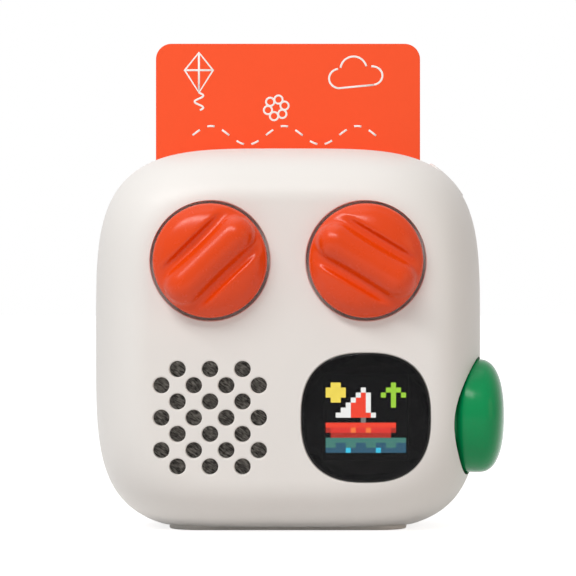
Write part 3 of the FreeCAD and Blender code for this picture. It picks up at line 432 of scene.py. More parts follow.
def half_case(name, y_band, y_face):
    """One half of the case, a wall thick, open at the parting, with a flat base."""
    way = 1 if y_face > y_part else -1
    edge_share = (case_half - seam) / case_half
    piece = case_plate(name, y_part, seam, False)
    rings = [(y_part, edge_share), (y_part + way * seam, 1), (y_band, 1)]
    stack(piece, rings + round_over(case_half, y_band, y_face), Y, case_axis, "EDGE")
    bpy.ops.mesh.edge_face_add()
    bpy.ops.mesh.select_all(action="SELECT")
    bpy.ops.mesh.bisect(plane_co=(0, 0, foot_gap), plane_no=Z)
    leave_edit()
    # What lies under the cut is lifted into its plane, which makes the flat base.
    for vertex in piece.data.vertices:
        vertex.co.z = max(vertex.co.z, foot_gap)
    outward(piece)
    use_modifier(piece, "SOLIDIFY", thickness=wall, offset=-1, use_even_offset=False)
    return piece


def case_core(inset, y_band, y_face):
    """Closed body inside one half of the case, to trim what is added within the wall."""
    way = 1 if y_face > y_part else -1
    rings = [(y_part, 1), (y_band, 1)] + round_over(case_half - inset, y_band, y_face - way * inset)
    return grown(case_plate("core", y_part, inset, True), rings, Y, case_axis)


print("halves have", dome_steps, "steps in their round-over")

# %% [markdown]
# ## Front shell
# The front half is a skin of one wall thickness. Bosses behind the face carry the
# knob recesses, the cloth and the window. A plain hole would have a knife-sharp edge,
# so the openings that show in the face are cut with tools whose flared ends leave a
# small rounded lip, as a moulded hole has. A tool that cuts right through runs a
# little past on both sides.

# %% Face layout
column = 15.1 * mm
knob_columns = (-column, column)
left_knob_low, left_knob_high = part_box("left_knob")
cloth_low, cloth_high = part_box("speaker_cloth")
lens_low, lens_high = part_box("display_lens")
button_low, button_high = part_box("power_button")
z_knobs = (left_knob_low.z + left_knob_high.z) / 2
z_lower = (lens_low.z + lens_high.z) / 2
y_button = (button_low.y + button_high.y) / 2
z_button = (button_low.z + button_high.z) / 2
print("rows at", z_knobs / mm, "and", z_lower / mm, "mm, button at", y_button / mm, z_button / mm)

# %% Openings
cut_over = 1 * mm
cut_far = 3 * mm
tool_lead = 2 * mm
lip = 0.3 * mm
lip_steps = 4
lens_power = 2.55
lens_gap = 0.1 * mm
lens_depth = 1.4 * mm
lens_side = lens_high.x - lens_low.x
y_lens_back = y_front + lens_depth
window_axis = Vector((column, 0, z_lower))
window_half = 8.39 * mm
window_margin = 0.9 * mm
window_floor = 1.6 * mm


def lip_profile(depth, radius):
    """(distance, radius) steps of a hole tool that starts outside the face and ends at a depth."""
    profile = [(-tool_lead, radius + lip), (0, radius + lip)]
    for step in range(1, lip_steps + 1):
        turn = math.pi / 2 * step / lip_steps
        profile.append((lip * (1 - math.cos(turn)), radius + lip * (1 - math.sin(turn))))
    return profile + [(depth, radius)]


def face_hole(x, z, radius, depth, sides):
    """Tool for a round hole in the front face."""
    return turned("hole", lip_profile(depth, radius), (x, y_front, z), Y, sides)


def window_plate(name, y, half, sides):
    """Filled squircle of the window's form at a depth y."""
    shape = (half, half, half, lens_power, lens_power)
    return squircle_plate(name, (column, y, z_lower), sides, True, shape)


def window_hole():
    """Tool for the recess that holds the window."""
    profile = lip_profile(lens_depth, lens_side / 2 + lens_gap)
    plate_half = profile[0][1]
    plate = window_plate("window hole", y_front - tool_lead, plate_half, outline_sides)
    return grown(plate, [(place, radius / plate_half) for place, radius in profile], Y, window_axis)


def window_boss(y_start, y_end):
    """Thick patch behind the face that carries the window."""
    plate = window_plate("window boss", y_start, lens_side / 2 + window_margin, 192)
    return grown(plate, [(y_start, 1), (y_end, 1)], Y, window_axis)


print("window", lens_side / mm, "mm across")

# %% Grille
grille_hole = 3.15 * mm
grille_pitch = 6.29 * mm
grille_rows = (3, 4, 3, 4, 3, 4, 3)
outermost_hole = math.hypot(grille_pitch, 1.5 * grille_pitch)
cloth_margin = 0.1 * mm
cloth_gap = 0.1 * mm
cloth_radius = outermost_hole + grille_hole / 2 + cloth_margin
seat_bore = cloth_high.x + column + cloth_gap


def grille_places():
    """Hole centres of the grille in staggered rows."""
    middle_row = (len(grille_rows) - 1) / 2
    places = []
    for row, count in enumerate(grille_rows):
        z = z_lower + (row - middle_row) * grille_pitch / 2
        places += [(-column + (hole - (count - 1) / 2) * grille_pitch, z) for hole in range(count)]
    return places


print("grille of", len(grille_places()), "holes over cloth", 2 * cloth_radius / mm, "mm across")

# %% Headphone corner
bezel_radius = 4.55 * mm
bezel_gap = 0.1 * mm
bezel_seat = 2.0 * mm
corner_share = 1 / math.sqrt(2)
corner_distance = ((corner_share / case_half) ** upper_power
                   + (corner_share / crown_rise) ** upper_power) ** (-1 / upper_power)
corner_way = Vector((corner_share, 0, corner_share))
bezel_low, bezel_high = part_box("jack_bezel")
y_jack = (bezel_low.y + bezel_high.y) / 2


def jack_point(out):
    """Point on the headphone axis, measured outward from the case's surface."""
    return Vector((0, y_jack, level_height)) + corner_way * (corner_distance + out)


print("headphone socket at", jack_point(0) / mm, "mm")

# %% Front shell
recess_radius = 11.6 * mm
recess_depth = 2.2 * mm
recess_wall = 1.8 * mm
y_recess = y_front + recess_depth
hub_hole = 4.2 * mm
cloth_boss_wall = 1.0 * mm
cloth_boss_depth = 6 * mm
cloth_hole_end = 0.5 * mm
seat_depth = 8 * mm
seat_overlap = 0.1 * mm
button_radius = (button_high.z - button_low.z) / 2
button_gap = 0.45 * mm
guide_depth = 6.8 * mm


def front_bosses():
    """Thick places behind the face: round the knob recesses, the cloth and the window."""
    y_mid = y_front + wall / 2
    bosses = [depth_rod(recess_radius + recess_wall, x, z_knobs, y_mid, y_recess + recess_wall)
              for x in knob_columns]
    y_boss_end = y_front + cloth_boss_depth
    bosses.append(depth_rod(cloth_radius + cloth_boss_wall, -column, z_lower, y_mid, y_boss_end))
    bosses.append(window_boss(y_mid, y_lens_back + window_floor))
    return bosses


def face_tools():
    """Tools for the knob recesses, the window's recess and the grille."""
    tools = [face_hole(x, z_knobs, recess_radius, recess_depth, sides=160) for x in knob_columns]
    tools.append(window_hole())
    depth = cloth_low.y - y_front + cloth_hole_end
    return tools + [face_hole(x, z, grille_hole / 2, depth, sides=64) for x, z in grille_places()]


def inner_tools():
    """Tools for the knobs' hubs, the cloth's seat, the light's way, the button and the bezel."""
    tools = [depth_rod(hub_hole, x, z_knobs, y_recess - cut_over, y_recess + cut_far, sides=64)
             for x in knob_columns]
    tools.append(depth_rod(cloth_radius + cloth_gap, -column, z_lower, cloth_low.y, cloth_high.y))
    tools.append(depth_rod(seat_bore, -column, z_lower, cloth_high.y - seat_overlap, y_front + seat_depth))
    tools.append(block((column - window_half, y_lens_back - cut_over, z_lower - window_half),
                       (column + window_half, y_lens_back + cut_far, z_lower + window_half)))
    tools.append(rod(button_radius + button_gap, (case_half - guide_depth, y_button, z_button),
                     (case_half + cut_far, y_button, z_button), sides=192))
    tools.append(rod(bezel_radius + bezel_gap, jack_point(-bezel_seat), jack_point(cut_far)))
    return tools


def model_front_shell():
    """Front half of the case with its recesses and holes."""
    shell = half_case("front_shell_skin", y_wide, y_front)
    combine(shell, join_tools(front_bosses()), "UNION")
    combine(shell, join_tools(face_tools()), "DIFFERENCE")
    combine(shell, join_tools(inner_tools()), "DIFFERENCE")
    smooth(shell)
    return shell


front_shell = model_front_shell()
settle(front_shell, "front_shell", "root", "case_plastic")

# %% [markdown]
# ## Rear shell
# The rear half is the same skin with a shallower round-over. Its crown holds the
# card slot, its back the charging port and the wells over the case screws. What is
# added inside is first cut to a body that ends in the middle of the wall, so that
# nothing breaks through the outer skin.

# %% Rounding
lies_along = 0.99
lies_across = 0.5


def rounded(piece, axis, corner, segments):
    """Rounds the four edges of a block that run along an axis."""
    def along(edge):
        run = (edge.verts[1].co - edge.verts[0].co).normalized()
        return abs(run.dot(axis)) > lies_along

    pick(piece, "EDGE", along)
    bpy.ops.mesh.bevel(offset=corner, segments=segments, affect="EDGES", clamp_overlap=False)
    leave_edit()
    outward(piece)
    return piece


def round_rim(piece, place, axis, size, segments, fullness=0.5):
    """Rounds the rim of a body's flat end at a place on its axis."""
    def on_rim(edge):
        on_end = all(abs(vertex.co.dot(axis) - place) < plane_slack for vertex in edge.verts)
        return on_end and any(abs(face.normal.dot(axis)) < lies_across for face in edge.link_faces)

    pick(piece, "EDGE", on_rim)
    bpy.ops.mesh.bevel(
        offset=size, segments=segments, profile=fullness, affect="EDGES", clamp_overlap=False)
    leave_edit()


print("rounding tools ready")

# %% Slot, port and wells
card_low, card_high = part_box("audio_card")
plug_low, plug_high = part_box("screw_plugs")
plug_radius = 2.5 * mm
well_low_x = 24 * mm
slot_side_gap = 0.4 * mm
slot_face_gap = 0.25 * mm
slot_bevel = 0.5 * mm
throat_height = 8 * mm
z_crown = level_height + crown_rise
port_size = (8.94 * mm, 3.26 * mm)
port_corner_share = 0.98
z_port = 18 * mm


def port_tool(grow, y_start, y_end):
    """Stadium on the charging port's axis."""
    half, high = port_size[0] / 2 + grow, port_size[1] / 2 + grow
    piece = block((-half, y_start, z_port - high), (half, y_end, z_port + high))
    return rounded(piece, Y, high * port_corner_share, segments=12)


def slot_tool():
    """Card slot whose mouth opens into a small bevel."""
    half = card_high.x + slot_side_gap
    near, far = card_low.y - slot_face_gap, card_high.y + slot_face_gap
    piece = block((-half, near, z_crown - throat_height - cut_over), (half, far, z_crown - slot_bevel))
    pick(piece, "FACE", lambda face: face.normal.z > lies_along)
    # The flare starts one bevel below the crown and goes on for one above it.
    bpy.ops.mesh.extrude_region_move(TRANSFORM_OT_translate={"value": (0, 0, 2 * slot_bevel)})
    flare = (far - near + 4 * slot_bevel) / (far - near)
    bpy.ops.transform.resize(value=(1, flare, 1), center_override=(0, (near + far) / 2, 0))
    leave_edit()
    return piece


def well_places():
    """The four wells over the case screws."""
    high_x, high_z = plug_high.x - plug_radius, plug_high.z - plug_radius
    low_z = plug_low.z + plug_radius
    return [(side * x, z) for side in (-1, 1) for x, z in ((well_low_x, low_z), (high_x, high_z))]


print("slot", 2 * (card_high.x + slot_side_gap) / mm, "mm wide, wells at", well_places())

# %% Rear shell
post_radius = 3.2 * mm
post_start = 1 * mm
well_radius = 2.6 * mm
well_start = 2.2 * mm
throat_half = 28.6 * mm
throat_start = 0.9 * mm
throat_back = 1.25 * mm
port_gap = 0.25 * mm
port_flare = 1.6 * mm
port_inset = 1.0 * mm


def rear_additions():
    """Screw posts and the card's throat, cut to the middle of the wall."""
    bodies = [depth_rod(post_radius, x, z, y_part + post_start, y_rear, sides=64) for x, z in well_places()]
    bodies.append(block((-throat_half, y_part + throat_start, z_crown - throat_height),
                        (throat_half, card_high.y + throat_back, z_crown)))
    additions = join_tools(bodies)
    combine(additions, case_core(wall / 2, y_rear_wide, y_rear), "INTERSECT")
    return additions


def model_rear_shell():
    """Rear half of the case with the card slot, the screw wells and the charging port."""
    shell = half_case("rear_shell_skin", y_rear_wide, y_rear)
    combine(shell, rear_additions(), "UNION")
    y_out = y_rear + cut_over
    tools = [slot_tool(), port_tool(port_gap, y_part, y_out)]
    tools += [depth_rod(well_radius, x, z, y_part + well_start, y_out, sides=64) for x, z in well_places()]
    combine(shell, join_tools(tools), "DIFFERENCE")
    combine(shell, port_tool(port_flare, y_rear - port_inset, y_out), "DIFFERENCE")
    smooth(shell)
    return shell


rear_shell = model_rear_shell()
settle(rear_shell, "rear_shell", "root", "case_plastic")

# %% [markdown]
# ## Foot pad
# A soft pad is bedded in the flat base of both shells. It is a plate with round
# corners whose lower rim is rolled over, so that it meets the table in a thin line.
# A beveled block gives both, the corners first and then the rim.

# %% Foot pad
pad_corner = 6 * mm
pad_edge = 0.35 * mm
pad_low, pad_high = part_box("base_foot_pad")
foot_pad = rounded(block(pad_low, pad_high), Z, pad_corner, segments=16)
foot_pad.name = foot_pad.data.name = "foot_pad_soft"
round_rim(foot_pad, pad_low.z, Z, pad_edge, segments=4)
smooth(foot_pad)
settle(foot_pad, "base_foot_pad", "root", "foot_silicone")

# %% [markdown]
# ## Knobs
# Each knob is a disc with a domed face, a tall grip ridge across it and a crescent on
# either side, cut from a higher dome. The bodies are joined with sharp corners, then
# remeshed finely and smoothed, which melts every corner into a soft hollow curve like
# the one that a mould leaves. A bevel can't do this where three forms run together.

# %% Knob sizes
knob_radius = (left_knob_high.x - left_knob_low.x) / 2
knob_set_back = 1.1 * mm
knob_rim_height = 3.4 * mm
knob_rim_round = 0.6 * mm
knob_root = 0.5 * mm
knob_dome_power = 2.0
knob_dome_steps = 14
floor_height = 1.55 * mm
crescent_height = 3.05 * mm
crescent_start = 5.35 * mm
crescent_margin = 0.95 * mm
ridge_height = 4.04 * mm
ridge_half = 3.85 * mm
ridge_margin = 0.45 * mm
ridge_round = 3.5 * mm
ridge_fullness = 0.44
ridge_end_slack = 0.01 * mm
print("knobs", 2 * knob_radius / mm, "mm across")


# %% Knob forms
def knob_dome(y_rim, radius, height):
    """Dome on the disc's face: its height falls away with a power of the distance from its middle."""
    shares = [math.sin(math.pi / 2 * step / knob_dome_steps) for step in range(knob_dome_steps, 0, -1)]
    rings = [(y_rim - height * (1 - share ** knob_dome_power) ** (1 / knob_dome_power), radius * share)
             for share in shares]
    return turned("knob_dome", [(y_rim + knob_root, radius)] + rings, (0, 0, 0), Y, sides=192)


def knob_ridge(y_rim):
    """Grip ridge: a long block with round ends and a domed top."""
    reach = knob_radius - ridge_margin
    y_top = y_rim - ridge_height
    piece = block((-reach, y_top, -ridge_half), (reach, y_rim + knob_root, ridge_half))
    rounded(piece, Y, ridge_half - ridge_end_slack, segments=28)
    round_rim(piece, y_top, Y, ridge_round, segments=16, fullness=ridge_fullness)
    return piece


def knob_crescent(y_rim, side):
    """Crescent on one side of the ridge: the outer slice of a higher dome."""
    dome = knob_dome(y_rim, knob_radius - crescent_margin, crescent_height)
    back = knob_radius + knob_root
    ends = sorted((side * crescent_start, side * back))
    slab = block((-back, y_rim - 2 * crescent_height, ends[0]), (back, y_rim + 2 * knob_root, ends[1]))
    combine(dome, slab, "INTERSECT")
    return dome


print("ridge stands", ridge_height / mm, "mm over the knob's rim")

# %% Knobs
melt_voxel = 0.19 * mm
melt_passes = 36
melt_rounds = 2
hub_radius = 3.9 * mm
shaft_radius = 3.02 * mm
shaft_depth = 4.4 * mm
knob_turns = {"left": 44.0, "right": -31.0}
knob_sharp_angle = 60


def melt(piece):
    """Fine remesh and smoothing, done in rounds, which softens every corner."""
    for pass_number in range(melt_rounds):
        use_modifier(piece, "REMESH", mode="VOXEL", voxel_size=melt_voxel)
        use_modifier(piece, "SMOOTH", factor=0.5, iterations=melt_passes)


def model_knob(side, x):
    """Knob of one side, turned to its resting angle."""
    y_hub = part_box(side + "_knob")[1].y
    y_back = y_recess - knob_set_back
    y_rim = y_back - knob_rim_height
    knob = rod(knob_radius, (0, y_back, 0), (0, y_rim, 0), sides=224)
    knob.name = knob.data.name = side + "_knob_grip"
    round_rim(knob, y_rim, Y, knob_rim_round, segments=6)
    floor_dome = knob_dome(y_rim, knob_radius - knob_rim_round, floor_height)
    for part in (floor_dome, knob_ridge(y_rim), knob_crescent(y_rim, 1), knob_crescent(y_rim, -1)):
        combine(knob, part, "UNION")
    melt(knob)
    combine(knob, depth_rod(hub_radius, 0, 0, y_back - knob_root, y_hub, sides=64), "UNION")
    shaft_bore = depth_rod(shaft_radius, 0, 0, y_hub - shaft_depth, y_hub + knob_set_back, sides=64)
    combine(knob, shaft_bore, "DIFFERENCE")
    outward(knob)
    turn = Matrix.Rotation(-math.radians(knob_turns[side]), 4, "Y")
    knob.data.transform(Matrix.Translation((x, 0, z_knobs)) @ turn)
    take(knob)
    bpy.ops.object.shade_smooth_by_angle(angle=math.radians(knob_sharp_angle))
    return knob


knobs = {}
for side, x in zip(("left", "right"), knob_columns):
    knobs[side] = model_knob(side, x)
    settle(knobs[side], side + "_knob", side + "_knob", "knob_plastic")

# %% [markdown]
# ## Power button
# The button is a pebble: a round body whose crown and belly are half squircles. A
# flattened ball would have too thin an edge, and the squircle keeps it full. Its skirt
# runs back into the case and its hollow holds a stem that works the switch. All of
# it is round about one axis, so one profile is turned.

# %% Power button
equator_inset = 0.9 * mm
button_equator = case_half - equator_inset
button_crown = button_high.x - button_equator
button_belly = 6.0 * mm
crown_power = 2.5
belly_power = 3.6
button_skirt = 9.6 * mm
button_cup = 7.5 * mm
button_stem = 1.7 * mm
button_skin = 2.6 * mm
button_steps = 24
button_tip = 0.3 * mm
retainer_low, retainer_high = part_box("button_retainer")
retainer_bore = 8.58 * mm


def pebble(depth, stop_radius, power):
    """(distance, radius) steps from the button's equator to a stop radius."""
    limit = (1 - (stop_radius / button_radius) ** power) ** (1 / power)
    end = math.atan2(limit, stop_radius / button_radius)
    steps = []
    for step in range(button_steps + 1):
        turn = end * step / button_steps
        out, up = math.cos(turn), math.sin(turn)
        reach = (out ** power + up ** power) ** (-1 / power)
        steps.append((depth * reach * up, button_radius * reach * out))
    return steps


def model_button():
    """Hollow pebble with its stem, turned about the button's axis."""
    cup_top = button_crown - button_skin
    inner_end = retainer_low.x - button_equator
    step_end = retainer_high.x - button_equator
    profile = [(button_low.x - button_equator, button_stem), (cup_top, button_stem), (cup_top, button_cup),
               (inner_end, button_cup), (inner_end, retainer_bore), (step_end, retainer_bore),
               (step_end, button_skirt)]
    profile += pebble(-button_belly, button_skirt, belly_power)[::-1]
    profile += pebble(button_crown, button_tip, crown_power)[1:]
    button = turned("power_button_pebble", profile, (button_equator, y_button, z_button), X, sides=160)
    smooth(button, degrees=40)
    return button


power_button = model_button()
settle(power_button, "power_button", "power_button", "button_plastic")

# %% [markdown]
# ## Window and picture
# The window is a thick plate of smoked acrylic with a broad rolled edge. Behind it a
# film glows where one of the 256 lights is on. An image would blur at the squares'
# edges, so the picture is drawn as sixteen rows of letters, one letter for each
# colour of light, and each square of a grid takes the finish of its letter.

# %% Window
window_roll = 1.5 * mm
window_drop = 0.35 * mm
roll_steps = 8


def model_window():
    """Squircle plate with a broad rolled front edge."""
    half = lens_side / 2
    rings = [(lens_high.y, 1), (y_front + window_drop, 1)]
    for step in range(1, roll_steps + 1):
        turn = math.pi / 2 * step / roll_steps
        inset = window_roll * (1 - math.cos(turn))
        rings.append((y_front + window_drop * (1 - math.sin(turn)), (half - inset) / half))
    piece = grown(window_plate("display_window", lens_high.y, half, 192), rings, Y, window_axis)
    smooth(piece, degrees=50)
    return piece


window = model_window()
settle(window, "display_lens", "root", "lens_acrylic")

# %% Picture
pixel_pitch = 0.974 * mm
picture_rows = (
    "................",
    ".yy..........l..",
    "yyyy...w....lll.",
    "yyyy..wrw..l.l.l",
    ".yy..wrrw....l..",
    "....wrrrw....l..",
    "...wwrrrw.......",
    "..wwwrrrrw......",
    ".......k........",
    "rrrrrrrrrrrrrr..",
    "dRRRRoRRoRRRRd..",
    ".dddddddddddd...",
    "tttttttttttttttt",
    "ttbbttbbttbbttbb",
    "bbbbcbbbbbcbbbbb",
    "................")
light_colours = {
    "r": (0.86, 0.06, 0.03), "R": (0.72, 0.04, 0.03), "d": (0.42, 0.03, 0.02), "o": (0.93, 0.19, 0.05),
    "y": (0.86, 0.68, 0.10), "l": (0.33, 0.62, 0.05), "w": (0.84, 0.84, 0.82), "k": (0.20, 0.19, 0.18),
    "t": (0.06, 0.20, 0.17), "b": (0.03, 0.10, 0.16), "c": (0.05, 0.52, 0.74)}
film_low, film_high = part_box("display_diffuser")


def model_picture(letter_finishes):
    """Film of 256 squares: dark where a light is off, its own colour where it is on."""
    count = len(picture_rows)
    clear_selection()
    bpy.ops.mesh.primitive_grid_add(
        x_subdivisions=count, y_subdivisions=count, size=count * pixel_pitch, rotation=(math.pi / 2, 0, 0),
        location=(column, film_low.y, z_lower))
    piece = name_new("display_picture")
    letters = list(letter_finishes)
    for letter in letters:
        piece.data.materials.append(letter_finishes[letter])
    for face in piece.data.polygons:
        place = (face.center - window_axis) / pixel_pitch + Vector((1, 0, 1)) * (count / 2)
        letter = picture_rows[count - 1 - int(place.z)][int(place.x)]
        face.material_index = letters.index(letter)
    use_modifier(piece, "SOLIDIFY", thickness=film_high.y - film_low.y, offset=-1)
    outward(piece)
    return piece


print("picture of", len(picture_rows), "rows in", len(light_colours), "colours of light")

# %% [markdown]
# ## Speaker cloth
# Felted cloth is stretched behind the grille. It is a disc with a fine grid of
# faces, raised and sunk a little by noise, so that it isn't a dead flat sheet in the
# holes. It doesn't hang or fold, so no cloth simulation is needed.

# %% Speaker cloth
felt_sides = 96
felt_cuts = 6
felt_lump = 1.2 * mm
felt_rise = 0.15 * mm
felt_thickness = 0.2 * mm


def model_cloth():
    """Disc of cloth with a slightly uneven face."""
    clear_selection()
    bpy.ops.mesh.primitive_circle_add(vertices=felt_sides, radius=cloth_radius, fill_type="TRIFAN",
                                      rotation=(math.pi / 2, 0, 0),
                                      location=(-column, (cloth_low.y + cloth_high.y) / 2, z_lower))
    piece = name_new("speaker_cloth_felt")
    pick(piece, "FACE", lambda face: True)
    bpy.ops.mesh.subdivide(number_cuts=felt_cuts)
    leave_edit()
    outward(piece)
    texture = bpy.data.textures.new("felt lumps", "CLOUDS")
    texture.noise_scale = felt_lump
    use_modifier(piece, "DISPLACE", texture=texture, strength=felt_rise, direction="Y",
                 texture_coords="LOCAL", mid_level=0.5)
    use_modifier(piece, "SOLIDIFY", thickness=felt_thickness, offset=0)
    smooth(piece, degrees=60)
    return piece


speaker_cloth = model_cloth()
settle(speaker_cloth, "speaker_cloth", "root", "acoustic_cloth")

# %% [markdown]
# ## Headphone bezel
# A small domed ring closes the corner where the headphone socket comes out. It is
# turned upright about Z, where its profile is easy to write, and bored, and only
# then laid on the socket's slanting axis.

# %% Headphone bezel
bezel_hole = 2.1 * mm
bezel_proud = 0.2 * mm
bezel_crown = 0.55 * mm
bezel_ease = 0.15 * mm
bezel_steps = 12


def model_bezel():
    """Domed ring, turned upright and then laid on the slanting headphone axis."""
    # The crown is the cap of a ball.
    ball = (bezel_radius ** 2 + bezel_crown ** 2) / (2 * bezel_crown)
    profile = [(-bezel_seat, bezel_radius - bezel_ease), (-bezel_seat + bezel_ease, bezel_radius)]
    for step in range(bezel_steps + 1):
        radius = bezel_radius - (bezel_radius - bezel_hole / 2) * step / bezel_steps
        profile.append((bezel_proud - ball + math.sqrt(ball ** 2 - radius ** 2), radius))
    ring = turned("headphone_bezel", profile, (0, 0, 0), Z)
    combine(ring, rod(bezel_hole, (0, 0, -2 * bezel_seat), (0, 0, bezel_seat), sides=64), "DIFFERENCE")
    slant = Matrix.Rotation(math.atan2(corner_way.x, corner_way.z), 4, "Y")
    ring.data.transform(Matrix.Translation(jack_point(0)) @ slant)
    smooth(ring, degrees=40)
    return ring


bezel = model_bezel()
settle(bezel, "jack_bezel", "root", "case_plastic")

# %% [markdown]
# ## Finishes
# Moulded plastic isn't one flat colour: its gloss changes a little from place to
# place, and the mould leaves a fine grain. Noise on the object's own coordinates
# drives both, because it needs no unwrapping and has no seams. The metals get a
# brushed or plated tone, the board its copper pattern, the foam its pores and the
# felt its fibres.

# %% Pattern tools
def new_finish(name, colour, roughness):
    """Material with a plain colour and gloss on its shader."""
    finish = bpy.data.materials.new(name)
    finish.use_nodes = True
    shader = finish.node_tree.nodes["Principled BSDF"]
    shader.inputs["Base Color"].default_value = (*colour, 1)
    shader.inputs["Roughness"].default_value = roughness
    return finish, finish.node_tree, shader


def noise(tree, scale, detail=3.0, stretch=(1, 1, 1), turn=(0, 0, 0)):
    """Noise on Object coordinates, drawn out along the axes and turned as asked."""
    place = tree.nodes.new("ShaderNodeTexCoord")
    mapping = tree.nodes.new("ShaderNodeMapping")
    mapping.vector_type = "TEXTURE"
    mapping.inputs["Scale"].default_value = stretch
    mapping.inputs["Rotation"].default_value = turn
    pattern = tree.nodes.new("ShaderNodeTexNoise")
    pattern.inputs["Scale"].default_value = scale
    pattern.inputs["Detail"].default_value = detail
    tree.links.new(place.outputs["Object"], mapping.inputs["Vector"])
    tree.links.new(mapping.outputs["Vector"], pattern.inputs["Vector"])
    return pattern.outputs["Fac"]


def spread(tree, factor, low, high, start=0.3, end=0.7):
    """Maps the middle of a pattern onto a range of values."""
    spreader = tree.nodes.new("ShaderNodeMapRange")
    for socket, value in (("From Min", start), ("From Max", end), ("To Min", low), ("To Max", high)):
        spreader.inputs[socket].default_value = value
    tree.links.new(factor, spreader.inputs["Value"])
    return spreader.outputs["Result"]


def tone(tree, shader, factor, first, second, start=0.3, end=0.7):
    """Colour that drifts between two tones."""
    ramp = tree.nodes.new("ShaderNodeValToRGB")
    ramp.color_ramp.elements[0].position = start
    ramp.color_ramp.elements[1].position = end
    ramp.color_ramp.elements[0].color = (*first, 1)
    ramp.color_ramp.elements[1].color = (*second, 1)
    tree.links.new(factor, ramp.inputs["Fac"])
    tree.links.new(ramp.outputs["Color"], shader.inputs["Base Color"])


def gloss(tree, shader, factor, low, high):
    """Roughness that drifts between two values."""
    tree.links.new(spread(tree, factor, low, high), shader.inputs["Roughness"])


def relief(tree, shader, factor, height, strength=1.0):
    """Bump from a pattern, with its height in metres."""
    bump = tree.nodes.new("ShaderNodeBump")
    bump.inputs["Distance"].default_value = height
    bump.inputs["Strength"].default_value = strength
    tree.links.new(factor, bump.inputs["Height"])
    tree.links.new(bump.outputs["Normal"], shader.inputs["Normal"])


print("pattern tools ready")

# %% Moulded plastics and rubbers
tone_scale = 60
gloss_scale = 700
gloss_drift = 0.04


def moulded(name, colour, roughness, drift=0.03, grain=3200, height=0.004 * mm, shine=0.5):
    """Moulded plastic or rubber: faint drift of tone, uneven gloss and fine mould grain."""
    finish, tree, shader = new_finish(name, colour, roughness)
    paler = tuple(min(1.0, part * (1 + drift)) for part in colour)
    darker = tuple(part * (1 - drift) for part in colour)
    tone(tree, shader, noise(tree, tone_scale), darker, paler)
    gloss(tree, shader, noise(tree, gloss_scale), roughness - gloss_drift, roughness + gloss_drift)
    relief(tree, shader, noise(tree, grain, detail=2), height)
    shader.inputs["Specular IOR Level"].default_value = shine
    return finish


finishes = {
    "case_plastic": moulded("cream satin plastic", (0.80, 0.772, 0.745), 0.48, drift=0.008),
    "foot_silicone": moulded("white silicone", (0.80, 0.77, 0.73), 0.62, drift=0.02, grain=1800,
                             height=0.006 * mm),
    "knob_plastic": moulded("orange satin plastic", (0.77, 0.058, 0.002), 0.25, drift=0.02, shine=0.28),
    "button_plastic": moulded("green satin plastic", (0.0, 0.270, 0.082), 0.20, shine=0.18),
    "card_plastic": moulded("orange printed card", (0.96, 0.092, 0.022), 0.5, drift=0.008, grain=2500,
                            height=0.002 * mm, shine=0.25),
    "soft_rubber": moulded("soft grey rubber", (0.12, 0.12, 0.125), 0.7, drift=0.05, grain=2200,
                           height=0.008 * mm),
    "black_plastic": moulded("black plastic", (0.016, 0.016, 0.018), 0.42, drift=0.1),
    "chip_epoxy": moulded("chip epoxy", (0.022, 0.022, 0.024), 0.55, drift=0.1, grain=5000,
                          height=0.006 * mm),
    "light_epoxy": moulded("milky epoxy", (0.72, 0.73, 0.66), 0.3),
    "lead_insulation": moulded("lead insulation", (0.55, 0.03, 0.025), 0.45, drift=0.06),
    "ribbon_film": moulded("amber film", (0.36, 0.13, 0.02), 0.3, drift=0.12, grain=1500),
    "diffuser_film": moulded("dark film", (0.012, 0.012, 0.013), 0.6, drift=0.1)}
print(len(finishes), "moulded finishes")

# %% Metals
brush_scale = 900
brush_dulling = 0.16
brush_depth = 0.002 * mm


def metal(name, colour, roughness, stretch, drift=0.08):
    """Metal whose brushing or plating shows in its gloss and its tone."""
    finish, tree, shader = new_finish(name, colour, roughness)
    shader.inputs["Metallic"].default_value = 1.0
    brush = noise(tree, brush_scale, detail=4, stretch=stretch)
    tone(tree, shader, brush, tuple(part * (1 - drift) for part in colour), colour)
    gloss(tree, shader, brush, roughness, roughness + brush_dulling)
    relief(tree, shader, brush, brush_depth)
    return finish


finishes["plated_steel"] = metal("plated steel", (0.62, 0.61, 0.59), 0.28, (1, 1, 6))
finishes["copper"] = metal("enamelled copper", (0.72, 0.33, 0.16), 0.34, (3, 1, 1))
finishes["battery_foil"] = metal("battery foil", (0.66, 0.67, 0.69), 0.36, (1, 2.5, 2.5), drift=0.05)
print("metals made")

# %% Board, paper, foam and felt
run_scale = 420
run_depth = 0.01 * mm
fibre_scale = 4200
fibre_stretch = (4, 1, 1)
fibre_turn = (0, math.radians(35), 0)
felt_lump_scale = 900
felt_depth = 0.12 * mm


def board_finish():
    """Green solder mask over faint copper runs that lie square to the board's edges."""
    finish, tree, shader = new_finish("circuit board", (0.01, 0.12, 0.05), 0.35)
    place = tree.nodes.new("ShaderNodeTexCoord")
    runs = tree.nodes.new("ShaderNodeTexVoronoi")
    runs.distance = "MANHATTAN"
    runs.feature = "DISTANCE_TO_EDGE"
    runs.inputs["Scale"].default_value = run_scale
    tree.links.new(place.outputs["Object"], runs.inputs["Vector"])
    tone(tree, shader, runs.outputs["Distance"], (0.02, 0.20, 0.08), (0.008, 0.10, 0.045), 0.06, 0.12)
    relief(tree, shader, runs.outputs["Distance"], run_depth, strength=0.4)
    return finish


def porous(name, dark, pale, scale, height):
    """Foam or paper: pores or fibres in its tone and in its relief."""
    finish, tree, shader = new_finish(name, pale, 0.9)
    pores = noise(tree, scale, detail=5)
    tone(tree, shader, pores, dark, pale, 0.38, 0.62)
    relief(tree, shader, pores, height)
    return finish


